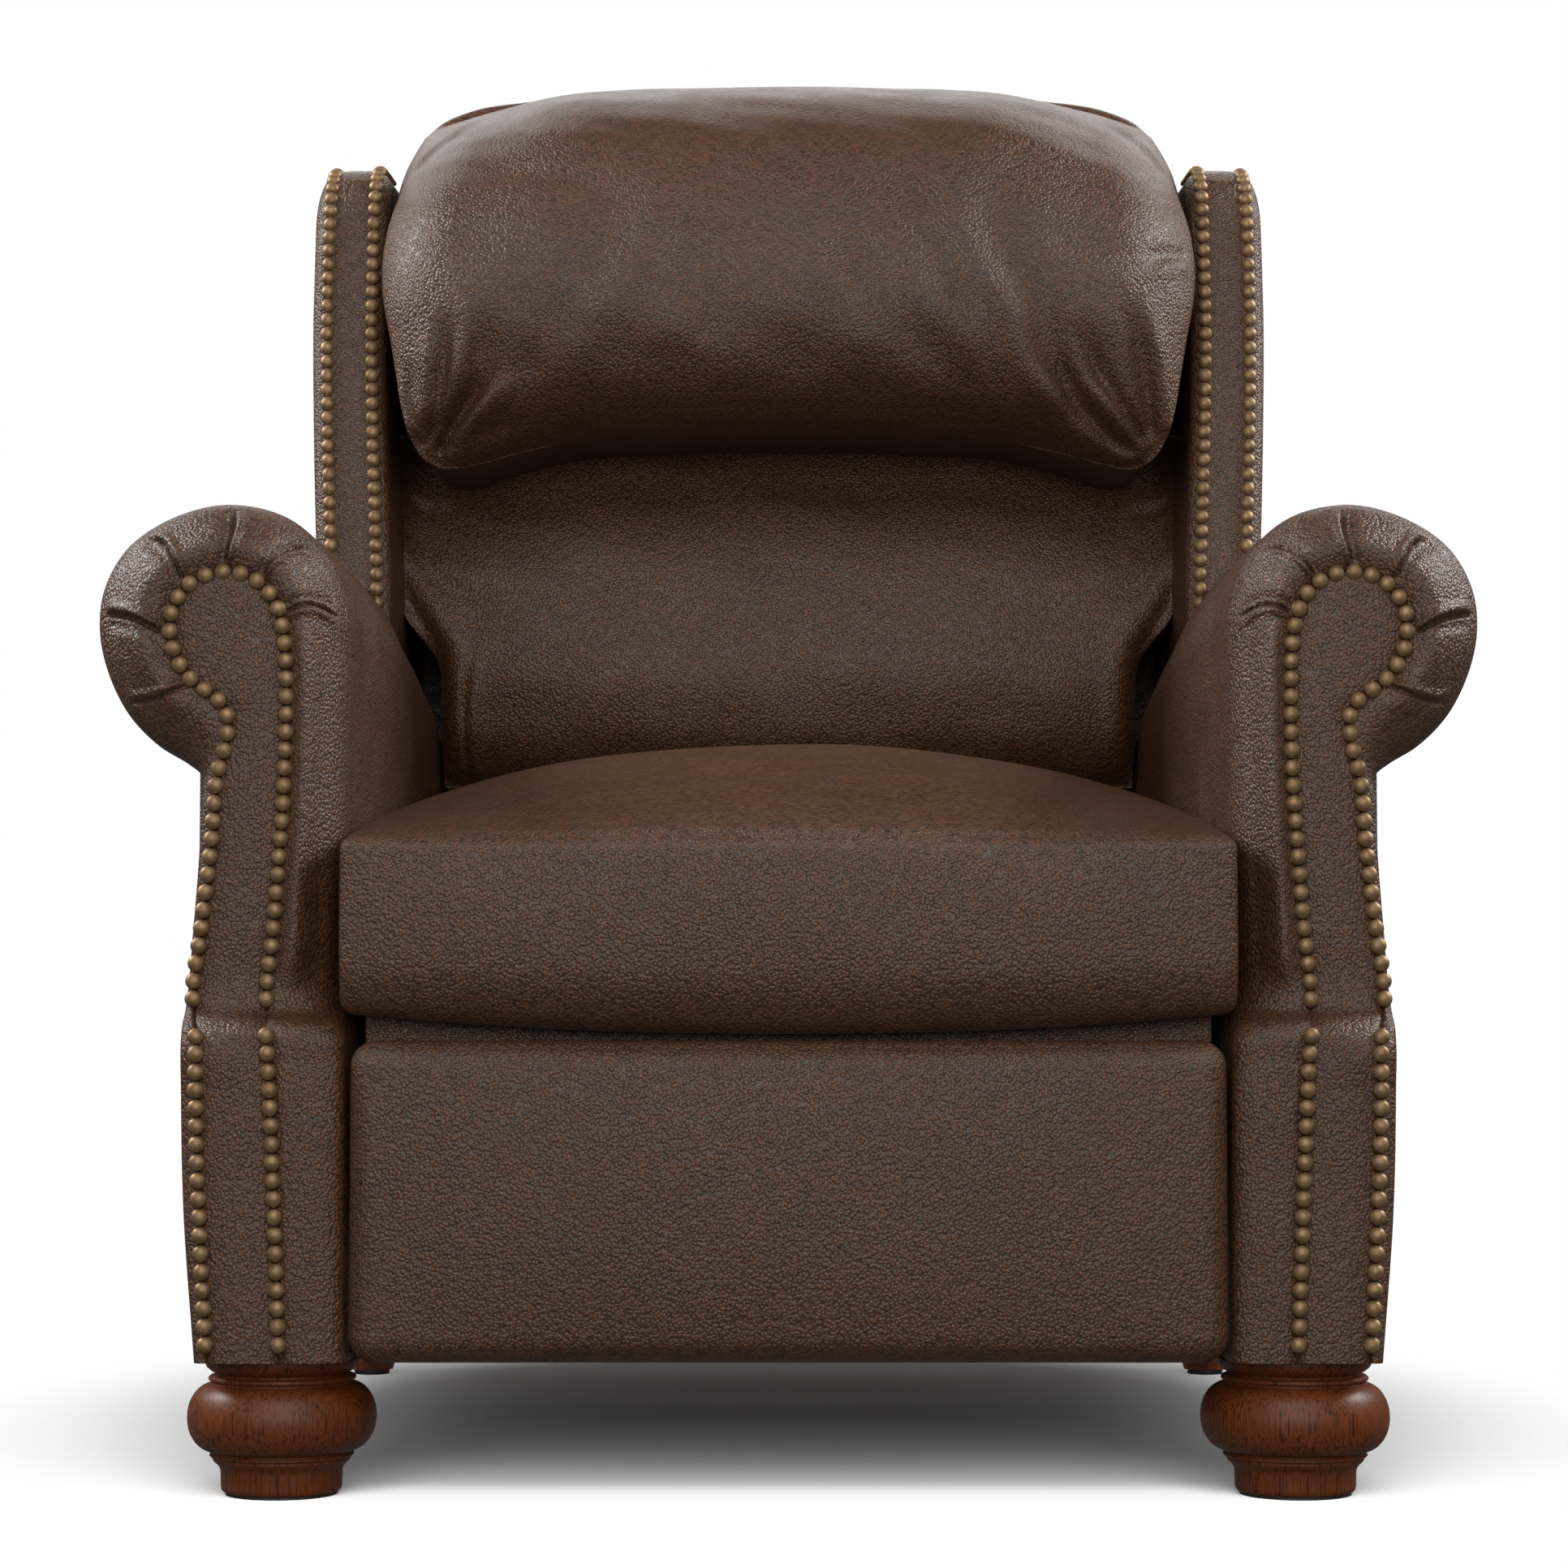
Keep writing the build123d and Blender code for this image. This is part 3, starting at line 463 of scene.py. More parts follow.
def arm_cover(side, end):
    """One skin: rounded scroll front with pleats, rolled top, inner face and the block below."""
    count = 860
    c = arm_columns(count)
    s, n = c[:, 0:2], c[:, 2:4]
    y_edge, y_face, box_p = FRONT + c[:, 4], FRONT + c[:, 5], c[:, 6]
    inner = np.arange(count) < int(np.argmax(s[:, 1]))
    angle = scroll_angle(s[:, 0], s[:, 1])
    on_scroll = ease(s[:, 1], 486, 530) * np.where(inner, ease(s[:, 1], 530, 560), 1.0)
    padded_edge = np.where(inner, ease(s[:, 1], 318, 345), ease(s[:, 1], 462, 500))
    away = (s - n) / np.maximum(np.linalg.norm(s - n, axis=1, keepdims=True), 1e-6)
    rows = [joined(n[:, 0], y_face + back, n[:, 1]) for back in (16, 5)]
    for reach in np.linspace(1, 0, 44):  # 1 at the nails, 0 at the silhouette
        phi = reach * math.pi / 2
        out = 1 - max(math.cos(phi), 0) ** (2 / box_p)
        fore = math.sin(phi) ** (2 / box_p)
        p = s + (n - s) * out[:, None]
        y = y_edge + (y_face - y_edge) * fore
        swell = 5.5 * hump(out, 0.62, 0.24) - 2.0 * hump(out, 1.0, 0.16)
        y = y - swell * padded_edge
        y = y + 2.2 * hump(out, 1.0, 0.07)  # sunk under the nails
        straight = np.where(inner, ease(s[:, 1], 318, 345) * (1 - ease(s[:, 1], 530, 575)), 0)
        y = y + straight * (3.4 * hump(out, 0.36, 0.13) - 2.4 * hump(out, 0.66, 0.12))
        depth = pleat_fold(angle, out) * on_scroll
        y = y + PLEAT_DEPTH * depth
        p = p - away * (1.6 * depth * (1 - fore))[:, None]
        rows.append(joined(p[:, 0], y, p[:, 1]))
    # behind the front: the roll and the inner face run back, the block turns in to the side board
    roll_rear = box_mm("arm_roll_left")[1][1]
    pad_low, pad_high = box_mm("inside_arm_left")
    y_back = FRONT + FACE_DEPTH
    rows.append(joined(s[:, 0], y_back + 2, s[:, 1]))
    full_rows = len(rows)
    is_body = (inner & (s[:, 1] > pad_low[2] - 6)) | (~inner & (s[:, 1] > 452))
    under = inner & (s[:, 1] < pad_low[2] + 14)
    body = s.copy()
    body[under, 1] = pad_low[2] + 2
    body[under, 0] = 290 + 30 * ease(-s[under, 1], -(pad_low[2] + 14), -(pad_low[2] - 6))
    tuck = ~inner & (s[:, 1] < 470)
    body[tuck, 0] = s[tuck, 0] - 26 * ease(-s[tuck, 1], -470, -452)
    body[tuck, 1] = np.maximum(s[tuck, 1], 462)
    # how high up the inner side each column is, from its flat face (0) to the crown of the roll (1)
    climb = np.where(inner, ease(body[:, 1], 470, ROLL_TOP), 1 - ease(-body[:, 1], -ROLL_TOP, -560))
    spill = 311.0  # where the roll's rear end closes to
    cap = roll_rear - ROLL_CAP
    stations = list(np.linspace(y_back + 8, cap, 34))
    stations += [roll_rear - ROLL_CAP * math.cos(t) for t in np.linspace(0, math.pi / 2, 12)[1:]]
    stations += list(np.linspace(roll_rear + 5, TAIL, 22)) + [122, 126, 129, 132, 140, 150]
    stations += list(np.linspace(160, pad_high[1], 5))
    for y in stations:
        shut = 1 - math.sqrt(max(0.0, 1 - ((y - cap) / ROLL_CAP) ** 2)) if y > cap else 0.0
        shut = 1.0 if y >= roll_rear else shut
        p = body.copy()
        lean = 15.0 * min((y - y_back) / (TAIL - y_back), 1.0)
        p[:, 0] -= np.where(inner, lean * (1 - ease(body[:, 1], 560, 640)), 0)
        p[:, 0] = p[:, 0] + shut * (spill - p[:, 0]) * (p[:, 0] > spill)
        p[:, 1] -= np.where(under, 0, (ROLL_TOP - roll_top(y)) * climb)
        p[:, 1] = np.minimum(p[:, 1], roll_top(y))
        if y > TAIL:
            p[:, 0] = np.maximum(p[:, 0], TAIL_FACE)
        row = joined(p[:, 0], y, p[:, 1])
        soft = ease(body[:, 1], 400, 480) * ease(y, y_back, y_back + 60) * 1.3
        row[:, 0] += soft * ripple(row, 150, 1.0)
        row[:, 2] += soft * ripple(row, 190, 2.0) * ease(body[:, 1], 560, 620)
        rows.append(row)
    rows.append(rows[-1].copy())
    rows[-1][:, 0] = spill
    rows = np.array(rows)
    faces = grid_faces(len(rows), count,
                       keep=lambda i, j: i < full_rows - 1 or (is_body[j] and is_body[j + 1]))
    piece = make(f"arm_cover_{end}", rows, faces, "leather", "root", side)
    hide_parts(f"arm_roll_{end}", f"inside_arm_{end}", f"arm_front_panel_{end}")


def nail_line():
    """The nail path round the left arm front, bottom to bottom, with its depth."""
    c = arm_columns(900)
    return joined(c[:, 2], FRONT + c[:, 5], c[:, 3])


def arm_inset(side, end):
    """The keyhole panel between the two nail rows, slightly crowned."""
    line = nail_line()
    top = int(np.argmax(line[:, 2]))
    rungs, across = 220, 15
    inner = resample(line[:top + 1], rungs)
    outer = resample(line[top:][::-1], rungs)
    # each rung joins the two halves of the path at the same share of the way from the floor to the crown
    q = np.linspace(-1, 1, across)
    rows = []
    for a, b in zip(inner, outer):
        wide = abs(b[0] - a[0])
        middle, half = (a + b) / 2, (b - a) / 2
        row = middle + half * q[:, None]
        row[:, 1] += 1.2 - min(3.4, 0.07 * wide) * (1 - q ** 2)
        row[:, 1] += 3.0 * np.abs(q) ** 12
        rows.append(row)
    piece = make(f"arm_inset_{end}", np.array(rows), grid_faces(rungs, across), "leather", "root", side)


def build_arms():
    for side, end in SIDES:
        arm_cover(side, end)
        arm_inset(side, end)
    line = nail_line()
    places = resample(line, round(length_of(line) / ARM_NAIL_PITCH) + 1)[1:-1]
    places = places[(places[:, 2] < LEDGE[0]) | (places[:, 2] > LEDGE[1])]
    both = np.concatenate([places, mirrored(places)])
    normals = np.tile([0.0, -1.0, 0.0], (len(both), 1))
    nails = nail_heads("arm_nail_heads", both, normals, "root")
    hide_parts("arm_nails")


# ---------------- flat padded panels

PANEL_STEP = 7.0


def loop_panel(name, loop, centre, x_low, x_high, radius, dome, body, side, reshape=None):
    """A padded slab whose outline is a (y, z) loop, between x_low and x_high, rounded over its edges.
    dome = how far the inner and the outer face swell. reshape(rows) may move the left one's points."""
    count = int(length_of(list(loop) + [loop[0]]) / PANEL_STEP)
    edge = resample(list(loop) + [loop[0]], count + 1)[:-1]
    centre = np.array(centre, float)
    to_centre = centre - edge
    reach = np.linalg.norm(to_centre, axis=1, keepdims=True)
    inward = to_centre / reach
    rows = []

    def face(x, swell, sign, shares):
        for share in shares:
            p = edge + inward * (radius + (reach - radius) * share)
            lift = swell * (1 - (1 - share) ** 2.2)
            rows.append(joined(x + sign * lift, p[:, 0], p[:, 1]))

    def corner(x, sign, angles):
        for a in angles:
            p = edge + inward * radius * (1 - math.cos(a))
            rows.append(joined(x + sign * radius * (math.sin(a) - 1), p[:, 0], p[:, 1]))

    shares = np.linspace(0, 1, 26)
    face(x_high, dome[1], 1, shares[::-1])
    corner(x_high, 1, np.linspace(math.pi / 2, 0, 8)[1:])
    for x in np.linspace(x_high - radius, x_low + radius, 9)[1:-1]:
        rows.append(joined(x, edge[:, 0], edge[:, 1]))
    corner(x_low, -1, np.linspace(0, math.pi / 2, 8)[:-1])
    face(x_low, dome[0], -1, shares)
    rows = np.array(rows)
    if reshape is not None:
        rows = reshape(rows)
    return make(name, rows, grid_faces(len(rows), count, closed=True), "leather", body, side)


def polygon(points, radii):
    """A closed (y, z) outline with rounded corners, as a list of points."""
    pts = [np.array(p, float) for p in points]
    out = []
    for i, p in enumerate(pts):
        before, after = pts[i - 1], pts[(i + 1) % len(pts)]
        a = (before - p) / np.linalg.norm(before - p)
        b = (after - p) / np.linalg.norm(after - p)
        half = math.acos(np.clip(a @ b, -1, 1)) / 2
        reach = radii[i] / math.tan(half)
        start, end = p + a * reach, p + b * reach
        middle = p + (a + b) / np.linalg.norm(a + b) * radii[i] / math.sin(half)
        for t in np.linspace(0, 1, 14):
            d = (start - middle) * (1 - t) + (end - middle) * t
            out.append(middle + d / np.linalg.norm(d) * radii[i])
    return out


# ---------------- wings

WING_LEAN = 10.0  # degrees
BACK_LEAN = 14.0
WING_NAIL_PITCH = 11.3
BACK_TOP = box_mm("outside_back_panel")[1][2]
WING_LOW, WING_HIGH = box_mm("wing_left")


def wing_front(z):
    """Depth of the wing's front face at a height, from the CAD wing's lower front corner."""
    return WING_LOW[1] + math.tan(math.radians(WING_LEAN)) * (z - WING_LOW[2])


def wing_outline():
    low = WING_LOW
    rear_low = back_rear(low[2]) - 6
    rear_high = back_rear(1003) - 6
    return polygon([(low[1], low[2]), (wing_front(968), 968), (rear_high, 995), (rear_low, low[2])],
                   [14, 50, 12, 12])


def wing_drop(x, z):
    """How far the wing's top rounds down towards its outer edge."""
    out = np.clip((x - (WING_HIGH[0] - 26)) / 26, 0, 1)
    inward = np.clip(((WING_LOW[0] + 12) - x) / 12, 0, 1)
    drop = 15 * (1 - np.sqrt(1 - 0.96 * out ** 2)) + 4 * inward ** 2
    return drop * ease(z, 890, 960)


def wing_shift(z):
    """Both faces come in a little towards the arm."""
    return -7.0 * np.clip((850 - z) / 170, 0, 1.25) ** 1.4


def wing_dish(rows):
    """The front band is hollow between its nail rows and plump at its edges, and the top rounds down."""
    x = rows[..., 0]
    middle = (WING_LOW[0] + WING_HIGH[0]) / 2
    near_front = rows[..., 1] - wing_front(np.minimum(rows[..., 2], 955)) < 14
    across = (x - middle) / ((WING_HIGH[0] - WING_LOW[0]) / 2)
    sink = 1.5 * (hump(across, -0.72, 0.16) + hump(across, 0.52, 0.16))
    rows[..., 1] += np.where(near_front, sink - 1.5 * (1 - across ** 2), 0)
    rows[..., 2] -= wing_drop(x, rows[..., 2])
    rows[..., 0] += wing_shift(rows[..., 2])
    return rows


def wing_nail_places(x):
    """A row up the wing's front band and over its top."""
    outline = np.array(wing_outline())
    closed = resample(np.vstack([outline, outline[:1]]), 4000)
    ahead = closed[(closed[:, 0] < 150) & (closed[:, 1] > 596)]
    ahead = ahead[np.argsort(ahead[:, 1] + ahead[:, 0] * 0.6)]
    count = round(length_of(ahead) / WING_NAIL_PITCH)
    path = resample(ahead, count + 1)
    run = np.gradient(path, axis=0)
    normal = joined(0.0, -run[:, 1], run[:, 0])
    y, z = path.T
    return joined(x + wing_shift(z), y, z - wing_drop(x, z)), normal


def build_wings():
    for side, end in SIDES:
        piece = loop_panel(f"wing_cover_{end}", wing_outline(), (190, 790), WING_LOW[0] - 2, WING_HIGH[0], 13,
                           (3, 7), "back", side, wing_dish)
        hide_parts(f"wing_{end}")
    places, normals = [], []
    for x in (WING_LOW[0] + 8.5, WING_HIGH[0] - 12.5):
        p, n = wing_nail_places(x)
        places += [p, mirrored(p)]
        normals += [n, n]
    nails = nail_heads("wing_nail_heads", np.concatenate(places), np.concatenate(normals), "back")
    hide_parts("wing_nails")


# ---------------- base sides, rear panel, back shell

def build_sides():
    low, high = box_mm("outside_arm_left")
    roll_low, roll_high = box_mm("arm_roll_left")
    outline = polygon(
        [(low[1] + 4, low[2] - 1.5), (high[1] + 2.5, low[2] - 1.5), (high[1] + 2.5, 423), (351, 433),
         (171, 555), (roll_high[1] - 2, 555), (roll_high[1] - 2, roll_low[2] + 6),
         (low[1] + 4, roll_low[2] + 6)],
        [4, 6, 9, 40, 60, 8, 4, 4])
    board = box_mm("base_side_frame_left")[0][0]
    for side, end in SIDES:
        piece = loop_panel(f"outside_arm_cover_{end}", outline, (60, 280), board - 1.6, high[0] + 1, 6,
                           (0, 3.5), "root", side)
        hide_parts(f"outside_arm_{end}")


def soft_box(name, node_name, radius, body, swell=(0, 0, 0), cells=(60, 12, 40), grow=0.0):
    """A padded box on a CAD node: rounded edges and faces that swell."""
    low, high = box_mm(node_name)
    half, middle = (high - low) / 2 + grow, (high + low) / 2
    cube, faces = cube_grid(*cells)
    p = rounded(cube, half, radius)
    for k in range(3):
        a, b = [i for i in range(3) if i != k]
        fade = (1 - np.abs(cube[:, a]) ** 2.5) * (1 - np.abs(cube[:, b]) ** 2.5)
        p[:, k] += np.sign(cube[:, k]) * (np.abs(cube[:, k]) > 0.999) * swell[k] * fade
    piece = make(name, p + middle, faces, "leather", body)
    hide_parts(node_name)


def back_rear(z):
    return REAR - math.tan(math.radians(BACK_LEAN)) * (BACK_TOP - z)


def build_back_shell():
    """Outside back: a padded rear panel, and the band over the top from its edge to the head cushion."""
    count = 150
    outline = resample(
        [(0, 234), (150, 234), (252, 234), (261, 242), (262, 300), (262, 500), (262, 545), (270, 562),
         (300, 566), (350, 566), (361, 572), (362, 590), (365, 700), (366, 850), (366, 950), (361, 980),
         (345, 1006), (318, 1023), (270, 1034), (180, 1041), (90, 1045), (0, 1046)], count)
    full = np.vstack([outline, outline[::-1][1:-1] * [-1, 1]])
    centre = np.array([0.0, 760.0])
    rows = []
    for share in np.linspace(1, 0, 30):
        p = full + (centre - full) * share
        bulge = 9 * (1 - (1 - share) ** 2.0)
        rows.append(joined(p[:, 0], back_rear(p[:, 1]) - 6 + bulge, p[:, 1]))
    for a in np.linspace(0, math.pi / 2, 6)[1:]:
        p = full + (full - centre) / np.linalg.norm(full - centre, axis=1, keepdims=True) * 3 * math.sin(a)
        rows.append(joined(p[:, 0], back_rear(p[:, 1]) - 6 - 6 * (1 - math.cos(a)), p[:, 1]))
    rows.append(joined(full[:, 0] * 0.985, back_rear(full[:, 1]) - 16, full[:, 1] - 2))
    rows = np.array(rows)
    faces = grid_faces(len(rows), rows.shape[1], closed=True)
    piece = make("outside_back_cover", rows, faces, "leather", "back")
    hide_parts("outside_back_panel")

    # top band, from the rear edge forward to the welt behind the head cushion
    rear_line = resample([(367, 955), (363, 980), (347, 1005), (318, 1024), (270, 1035), (180, 1042),
                          (0, 1047)], 60)
    fore_line = resample([(340, 940), (328, 975), (316, 998), (306, 1010), (291, 1020), (268, 1030),
                          (235, 1040), (180, 1049), (100, 1054), (0, 1055)], 60)
    rows = []
    for t in np.linspace(0, 1, 24):
        line = rear_line + (fore_line - rear_line) * ease(t)
        y = (back_rear(line[:, 1]) - 8) * (1 - t) + (258 + 0.12 * (line[:, 1] - 1000)) * t
        rise = 5 * math.sin(math.pi * t)
        rows.append(joined(line[:, 0], y, line[:, 1] + rise * ease(line[:, 1], 950, 1010)))
    edge = rows[-1]
    for sink in (3, 12, 40):
        under = edge.copy()
        under[:, 0] *= 1 - sink * 0.0012
        under[:, 1] += 1.5
        under[:, 2] -= sink
        rows.append(under)
    rows = np.array(rows)
    whole = np.concatenate([rows, mirrored(rows)[:, ::-1][:, 1:]], axis=1)
    piece = make("back_top_band", whole, grid_faces(len(whole), whole.shape[1]), "leather", "back")

    # boxing of the lower back between the arms, and the gusset that fills in beside the lumbar cushion
    top = 700
    for side, end in SIDES:
        for name, low, y_low, y_high, centre, width in (
                ("back_side_cover", 240, 196, 205, (262, 480), (234, 266)),
                ("back_gusset", 478, 213, 238, (290, 590), (258, 302))):
            rear = [(back_rear(top) - 14, top), (back_rear(low) - 12, low)]
            outline = polygon([(y_low, low), (y_high, top)] + rear, [8, 8, 8, 8])
            piece = loop_panel(f"{name}_{end}", outline, centre, *width, 6, (0, 1.0), "back", side)


# ---------------- cushions

SEAT_HALF = (285.5, 284.0, 62.0)
SEAM = 423  # height of the seat's front top seam


def seat_cushion():
    """Boxed seat: straight front seam, crowned top that climbs to the rear, plump front and under lip."""
    low, high = box_mm("seat_cushion")
    cube, faces = cube_grid(110, 110, 44)
    x, depth, z = rounded(cube, SEAT_HALF, 9.0).T
    y = depth + low[1] + 290
    ux = np.clip(np.abs(x) / SEAT_HALF[0], 0, 1)
    taper = 1 - 0.052 * ease(y, low[1] + 60, high[1])
    # top
    edge_top = SEAM + 0.113 * (y - (low[1] + 14))
    crown = at(y, [(low[1] + 6, 0), (low[1] + 30, 13), (low[1] + 70, 26), (low[1] + 150, 39), (-220, 46.5),
                   (-100, 42), (0, 31), (60, 17), (high[1] + 2, 2)])
    top = edge_top + crown * (1 - ux ** 2.4)
    # bottom: the lip hangs lower in the middle, the rest sits on the deck
    lip = 310 - 13.0 * (1 - ux ** 2.2)
    deck = box_mm("seat_deck")[1][2] + 1.0
    behind = ease(y, low[1] + 44, low[1] + 56)
    bottom = lip * (1 - behind) + deck * behind
    share = (z / SEAT_HALF[2] + 1) / 2
    z_new = bottom + (top - bottom) * share
    front_side = np.clip((-depth - 250) / 34, 0, 1)
    face_swell = 12.0 * (1 - np.clip(np.abs(share - 0.56) / 0.60, 0, 1) ** 2.2) * (1 - ux ** 4)
    under = 13.0 * (1 - np.clip(share / 0.32, 0, 1)) ** 2
    y_new = y - front_side * (face_swell - under)
    # a shallow valley just behind the front seam
    y_new += 1.3 * hump(z_new, SEAM, 3.0) * (depth < -262) * (ux < 0.99)
    side_swell = 2.0 * (1 - np.clip(np.abs(share - 0.5) / 0.5, 0, 1) ** 2)
    x_new = x * taper + np.sign(x) * (np.abs(cube[:, 0]) > 0.98) * side_swell * (1 - front_side)
    q = joined(x_new, y_new, z_new)
    q[:, 2] += 1.1 * ripple(q, 230, 0.5) * (share > 0.6) * (1 - ux ** 4)
    q[:, 1] += 0.8 * ripple(q, 190, 1.5) * front_side
    piece = make("seat_cushion_cover", q, faces, "leather", "seat")
    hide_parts("seat_cushion")


def curve(knots):
    """Knots (x, z, y) as a function of the share of the way along them."""
    k = np.array(knots, float)
    run = np.r_[0, np.cumsum(np.linalg.norm(np.diff(k, axis=0), axis=1))]
    run /= run[-1]
    return lambda t: np.stack([at(t, list(zip(run, k[:, c]))) for c in range(3)], -1)


def pillow(cells, bottom, side, top, centre, front_y, rear_y, rear_x, round_side, round_ends):
    """A cushion from its outline as seen from the front: three runs of (x, z, y) knots, from the centre
    of the bottom, up the side and from the centre of the top. front_y(x, z) is its face, rear_y(z) its
    back, rear_x(x, z) where the outline goes at the back. The face rolls over to the outline within
    round_side mm at the sides and round_ends mm at the bottom and the top."""
    cube, faces = cube_grid(*cells)
    u, v = cube[:, 0], cube[:, 2]
    share = (cube[:, 1] + 1) / 2
    m = np.maximum(np.maximum(np.abs(u), np.abs(v)), 1e-6)
    su, sv = np.abs(u) / m, v / m
    outline = curve(side)((sv + 1) / 2)
    low, high = sv <= -0.999999, sv >= 0.999999
    outline[low] = curve(bottom)(su[low])
    outline[high] = curve(top)(su[high])
    c = np.array(centre, float)
    flat = c + (outline[:, :2] - c) * m[:, None]
    edge = np.linalg.norm(outline[:, :2] - c, axis=1) * (1 - m)
    sideways = ease(su, 0.55, 1.0) * (1 - ease(np.abs(sv), 0.8, 1.0) * (1 - su ** 8))
    s = np.clip(edge / (round_ends + (round_side - round_ends) * sideways), 0, 1)
    turn = np.sqrt(1 - (1 - s) ** 2)
    y_front = outline[:, 2] + (front_y(flat[:, 0], flat[:, 1]) - outline[:, 2]) * turn
    y = y_front + (rear_y(flat[:, 1]) - y_front) * share
    x = flat[:, 0] + (rear_x(flat[:, 0], flat[:, 1]) - flat[:, 0]) * np.clip(share * 1.6, 0, 1)
    p = joined(x * np.sign(u + 1e-9), y, flat[:, 1])
    return p, faces, share


def folds(p, front, lines):
    """Sharp valleys and the plump ridges beside them, along (x, z) lines as seen from the front.
    Each line: points, depth, valley width, ridge height, ridge width, ridge side (1 or -1)."""
    move = np.zeros(len(p))
    here = p[:, [0, 2]]
    for points, depth, width, ridge, ridge_width, side in lines:
        line = resample(curve([(x, z, 0) for x, z in points])(np.linspace(0, 1, 40))[:, :2], 24)
        near, where, sign = np.full(len(p), 1e9), np.zeros(len(p)), np.ones(len(p))
        for i, (a, b) in enumerate(zip(line[:-1], line[1:])):
            d = b - a
            t = np.clip(((here - a) @ d) / (d @ d), 0, 1)
            off = here - (a + t[:, None] * d)
            gap = np.hypot(off[:, 0], off[:, 1])
            closer = gap < near
            near = np.where(closer, gap, near)
            where = np.where(closer, (i + t) / (len(line) - 1), where)
            sign = np.where(closer, np.sign(d[0] * off[:, 1] - d[1] * off[:, 0]), sign)
        fade = ease(where, 0, 0.12) * (1 - ease(where, 0.55, 1.0))
        wide = width * (0.7 + 1.2 * where)
        signed = near * sign * side
        move += fade * (depth * np.exp(-(near / wide) ** 2)
                        - ridge * np.exp(-((signed - ridge_width) / (ridge_width * 0.75)) ** 2))
    p[:, 1] += move * front
    return p


# depth of the cushions' faces at their middle, as (z, y)
HEAD_FACE = [(750, 34), (754, 14), (760, -5), (770, -24), (784, -40), (802, -52), (826, -60), (852, -60),
             (880, -54), (910, -43), (940, -28), (975, -3), (1005, 32), (1030, 76), (1046, 122), (1054, 160),
             (1057, 193), (1062, 200)]


def head_cushion():
    """Pillow between the wings: heavy lower roll, lower corners gathered into folds, arched lower edge."""
    bottom = [(0, 752, 34), (107, 749.5, 32), (174, 745, 26), (205, 737, 20), (236, 727, 12), (251, 722.5, 5),
              (265, 722, -2)]
    side = [(265, 722, -2), (277, 729, -10), (286, 744, -15), (292, 765, -17), (297, 792, -14),
            (302, 819, -8), (308, 847, 2), (311.5, 875, 20), (311, 905, 42), (306.5, 939, 72),
            (303, 975, 118), (298, 996, 140), (293, 1012, 157)]
    top = [(0, 1057, 193), (114, 1056, 192), (209, 1051, 190), (255, 1041.5, 182), (279, 1029, 172),
           (293, 1012, 157)]

    def face(x, z):
        droop = at(x, [(0, 0), (107, 2.5), (174, 7), (205, 15), (236, 25), (265, 30), (312, 26)])
        arch = 6 * np.minimum(np.abs(x) / 200, 1.3) ** 2 * ease(z, 980, 1040)
        corner = 66 * ease(np.abs(x), 150, 300) * ease(z, 900, 1030)
        depth = at(z + droop * (1 - ease(z, 735, 850)) + arch, HEAD_FACE)
        depth = depth + 12 * (np.abs(x) / 300) ** 4 + corner
        # never behind the top edge of the outline
        return np.minimum(depth, at(np.abs(x), [(0, 188), (209, 180), (255, 168), (293, 142), (312, 140)]))

    p, faces, share = pillow((230, 20, 150), bottom, side, top, (0, 880), face,
                             lambda z: 214 + 0.2 * (z - 727), lambda x, z: x * 0.975, 62, 9)
    front = (1 - share) ** 3
    p = folds(p, front, [
        # gathered lower corner on the sitter's right
        ([(-270, 731), (-252, 752), (-234, 775), (-212, 798)], 11.0, 4.6, 6.5, 12, -1),
        ([(-273, 735), (-263, 765), (-257, 800), (-253, 838)], 7.0, 5.5, 5.0, 13, 1),
        ([(-270, 730), (-245, 741), (-218, 751), (-188, 768)], 5.5, 7.0, 4.0, 14, -1),
        ([(-277, 733), (-282, 765), (-285, 805)], 5.0, 5.0, 3.5, 10, 1),
        ([(-264, 742), (-240, 775), (-228, 812), (-222, 850)], 5.0, 7.0, 4.5, 13, 1),
        # gathered lower corner on the sitter's left
        ([(271, 729), (246, 743), (223, 762), (199, 792), (172, 832)], 12.0, 6.5, 8.0, 17, 1),
        ([(272, 735), (254, 760), (232, 790), (214, 832)], 8.0, 5.0, 5.5, 12, 1),
        ([(275, 738), (269, 775), (262, 812), (248, 848)], 7.0, 6.0, 5.0, 13, -1),
        ([(271, 727), (256, 722), (240, 724)], 5.0, 4.0, 3.0, 8, -1),
        ([(303, 884), (286, 880), (262, 871)], 5.0, 5.5, 3.0, 10, 1),
        # long soft pulls that fan up over the face
        ([(232, 765), (184, 838), (154, 900), (142, 965)], 4.5, 13.0, 5.0, 24, 1),
        ([(200, 765), (136, 842), (100, 905), (84, 965)], 3.2, 14.0, 3.6, 26, 1),
        ([(150, 765), (84, 832), (44, 892), (30, 945)], 2.2, 16.0, 2.4, 28, 1),
        ([(-205, 775), (-158, 845), (-128, 905), (-115, 960)], 2.6, 15.0, 2.8, 26, -1),
        ([(-60, 800), (-66, 870), (-62, 950)], 1.8, 16.0, 1.5, 26, 1),
        ([(-292, 960), (-276, 985), (-254, 1006), (-226, 1026)], 3.6, 5.0, 2.4, 11, 1),
        ([(294, 955), (279, 985), (256, 1008), (226, 1027)], 3.6, 5.0, 2.4, 11, -1),
    ])
    uneven = 1.6 * ripple(p, 95, 0.4) + 1.4 * ripple(p, 180, 2.2)
    p[:, 1] += front * uneven * ease(300 - np.abs(p[:, 0]), 0, 60)
    piece = make("head_cushion_cover", p, faces, "leather", "back")
    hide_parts("head_cushion")


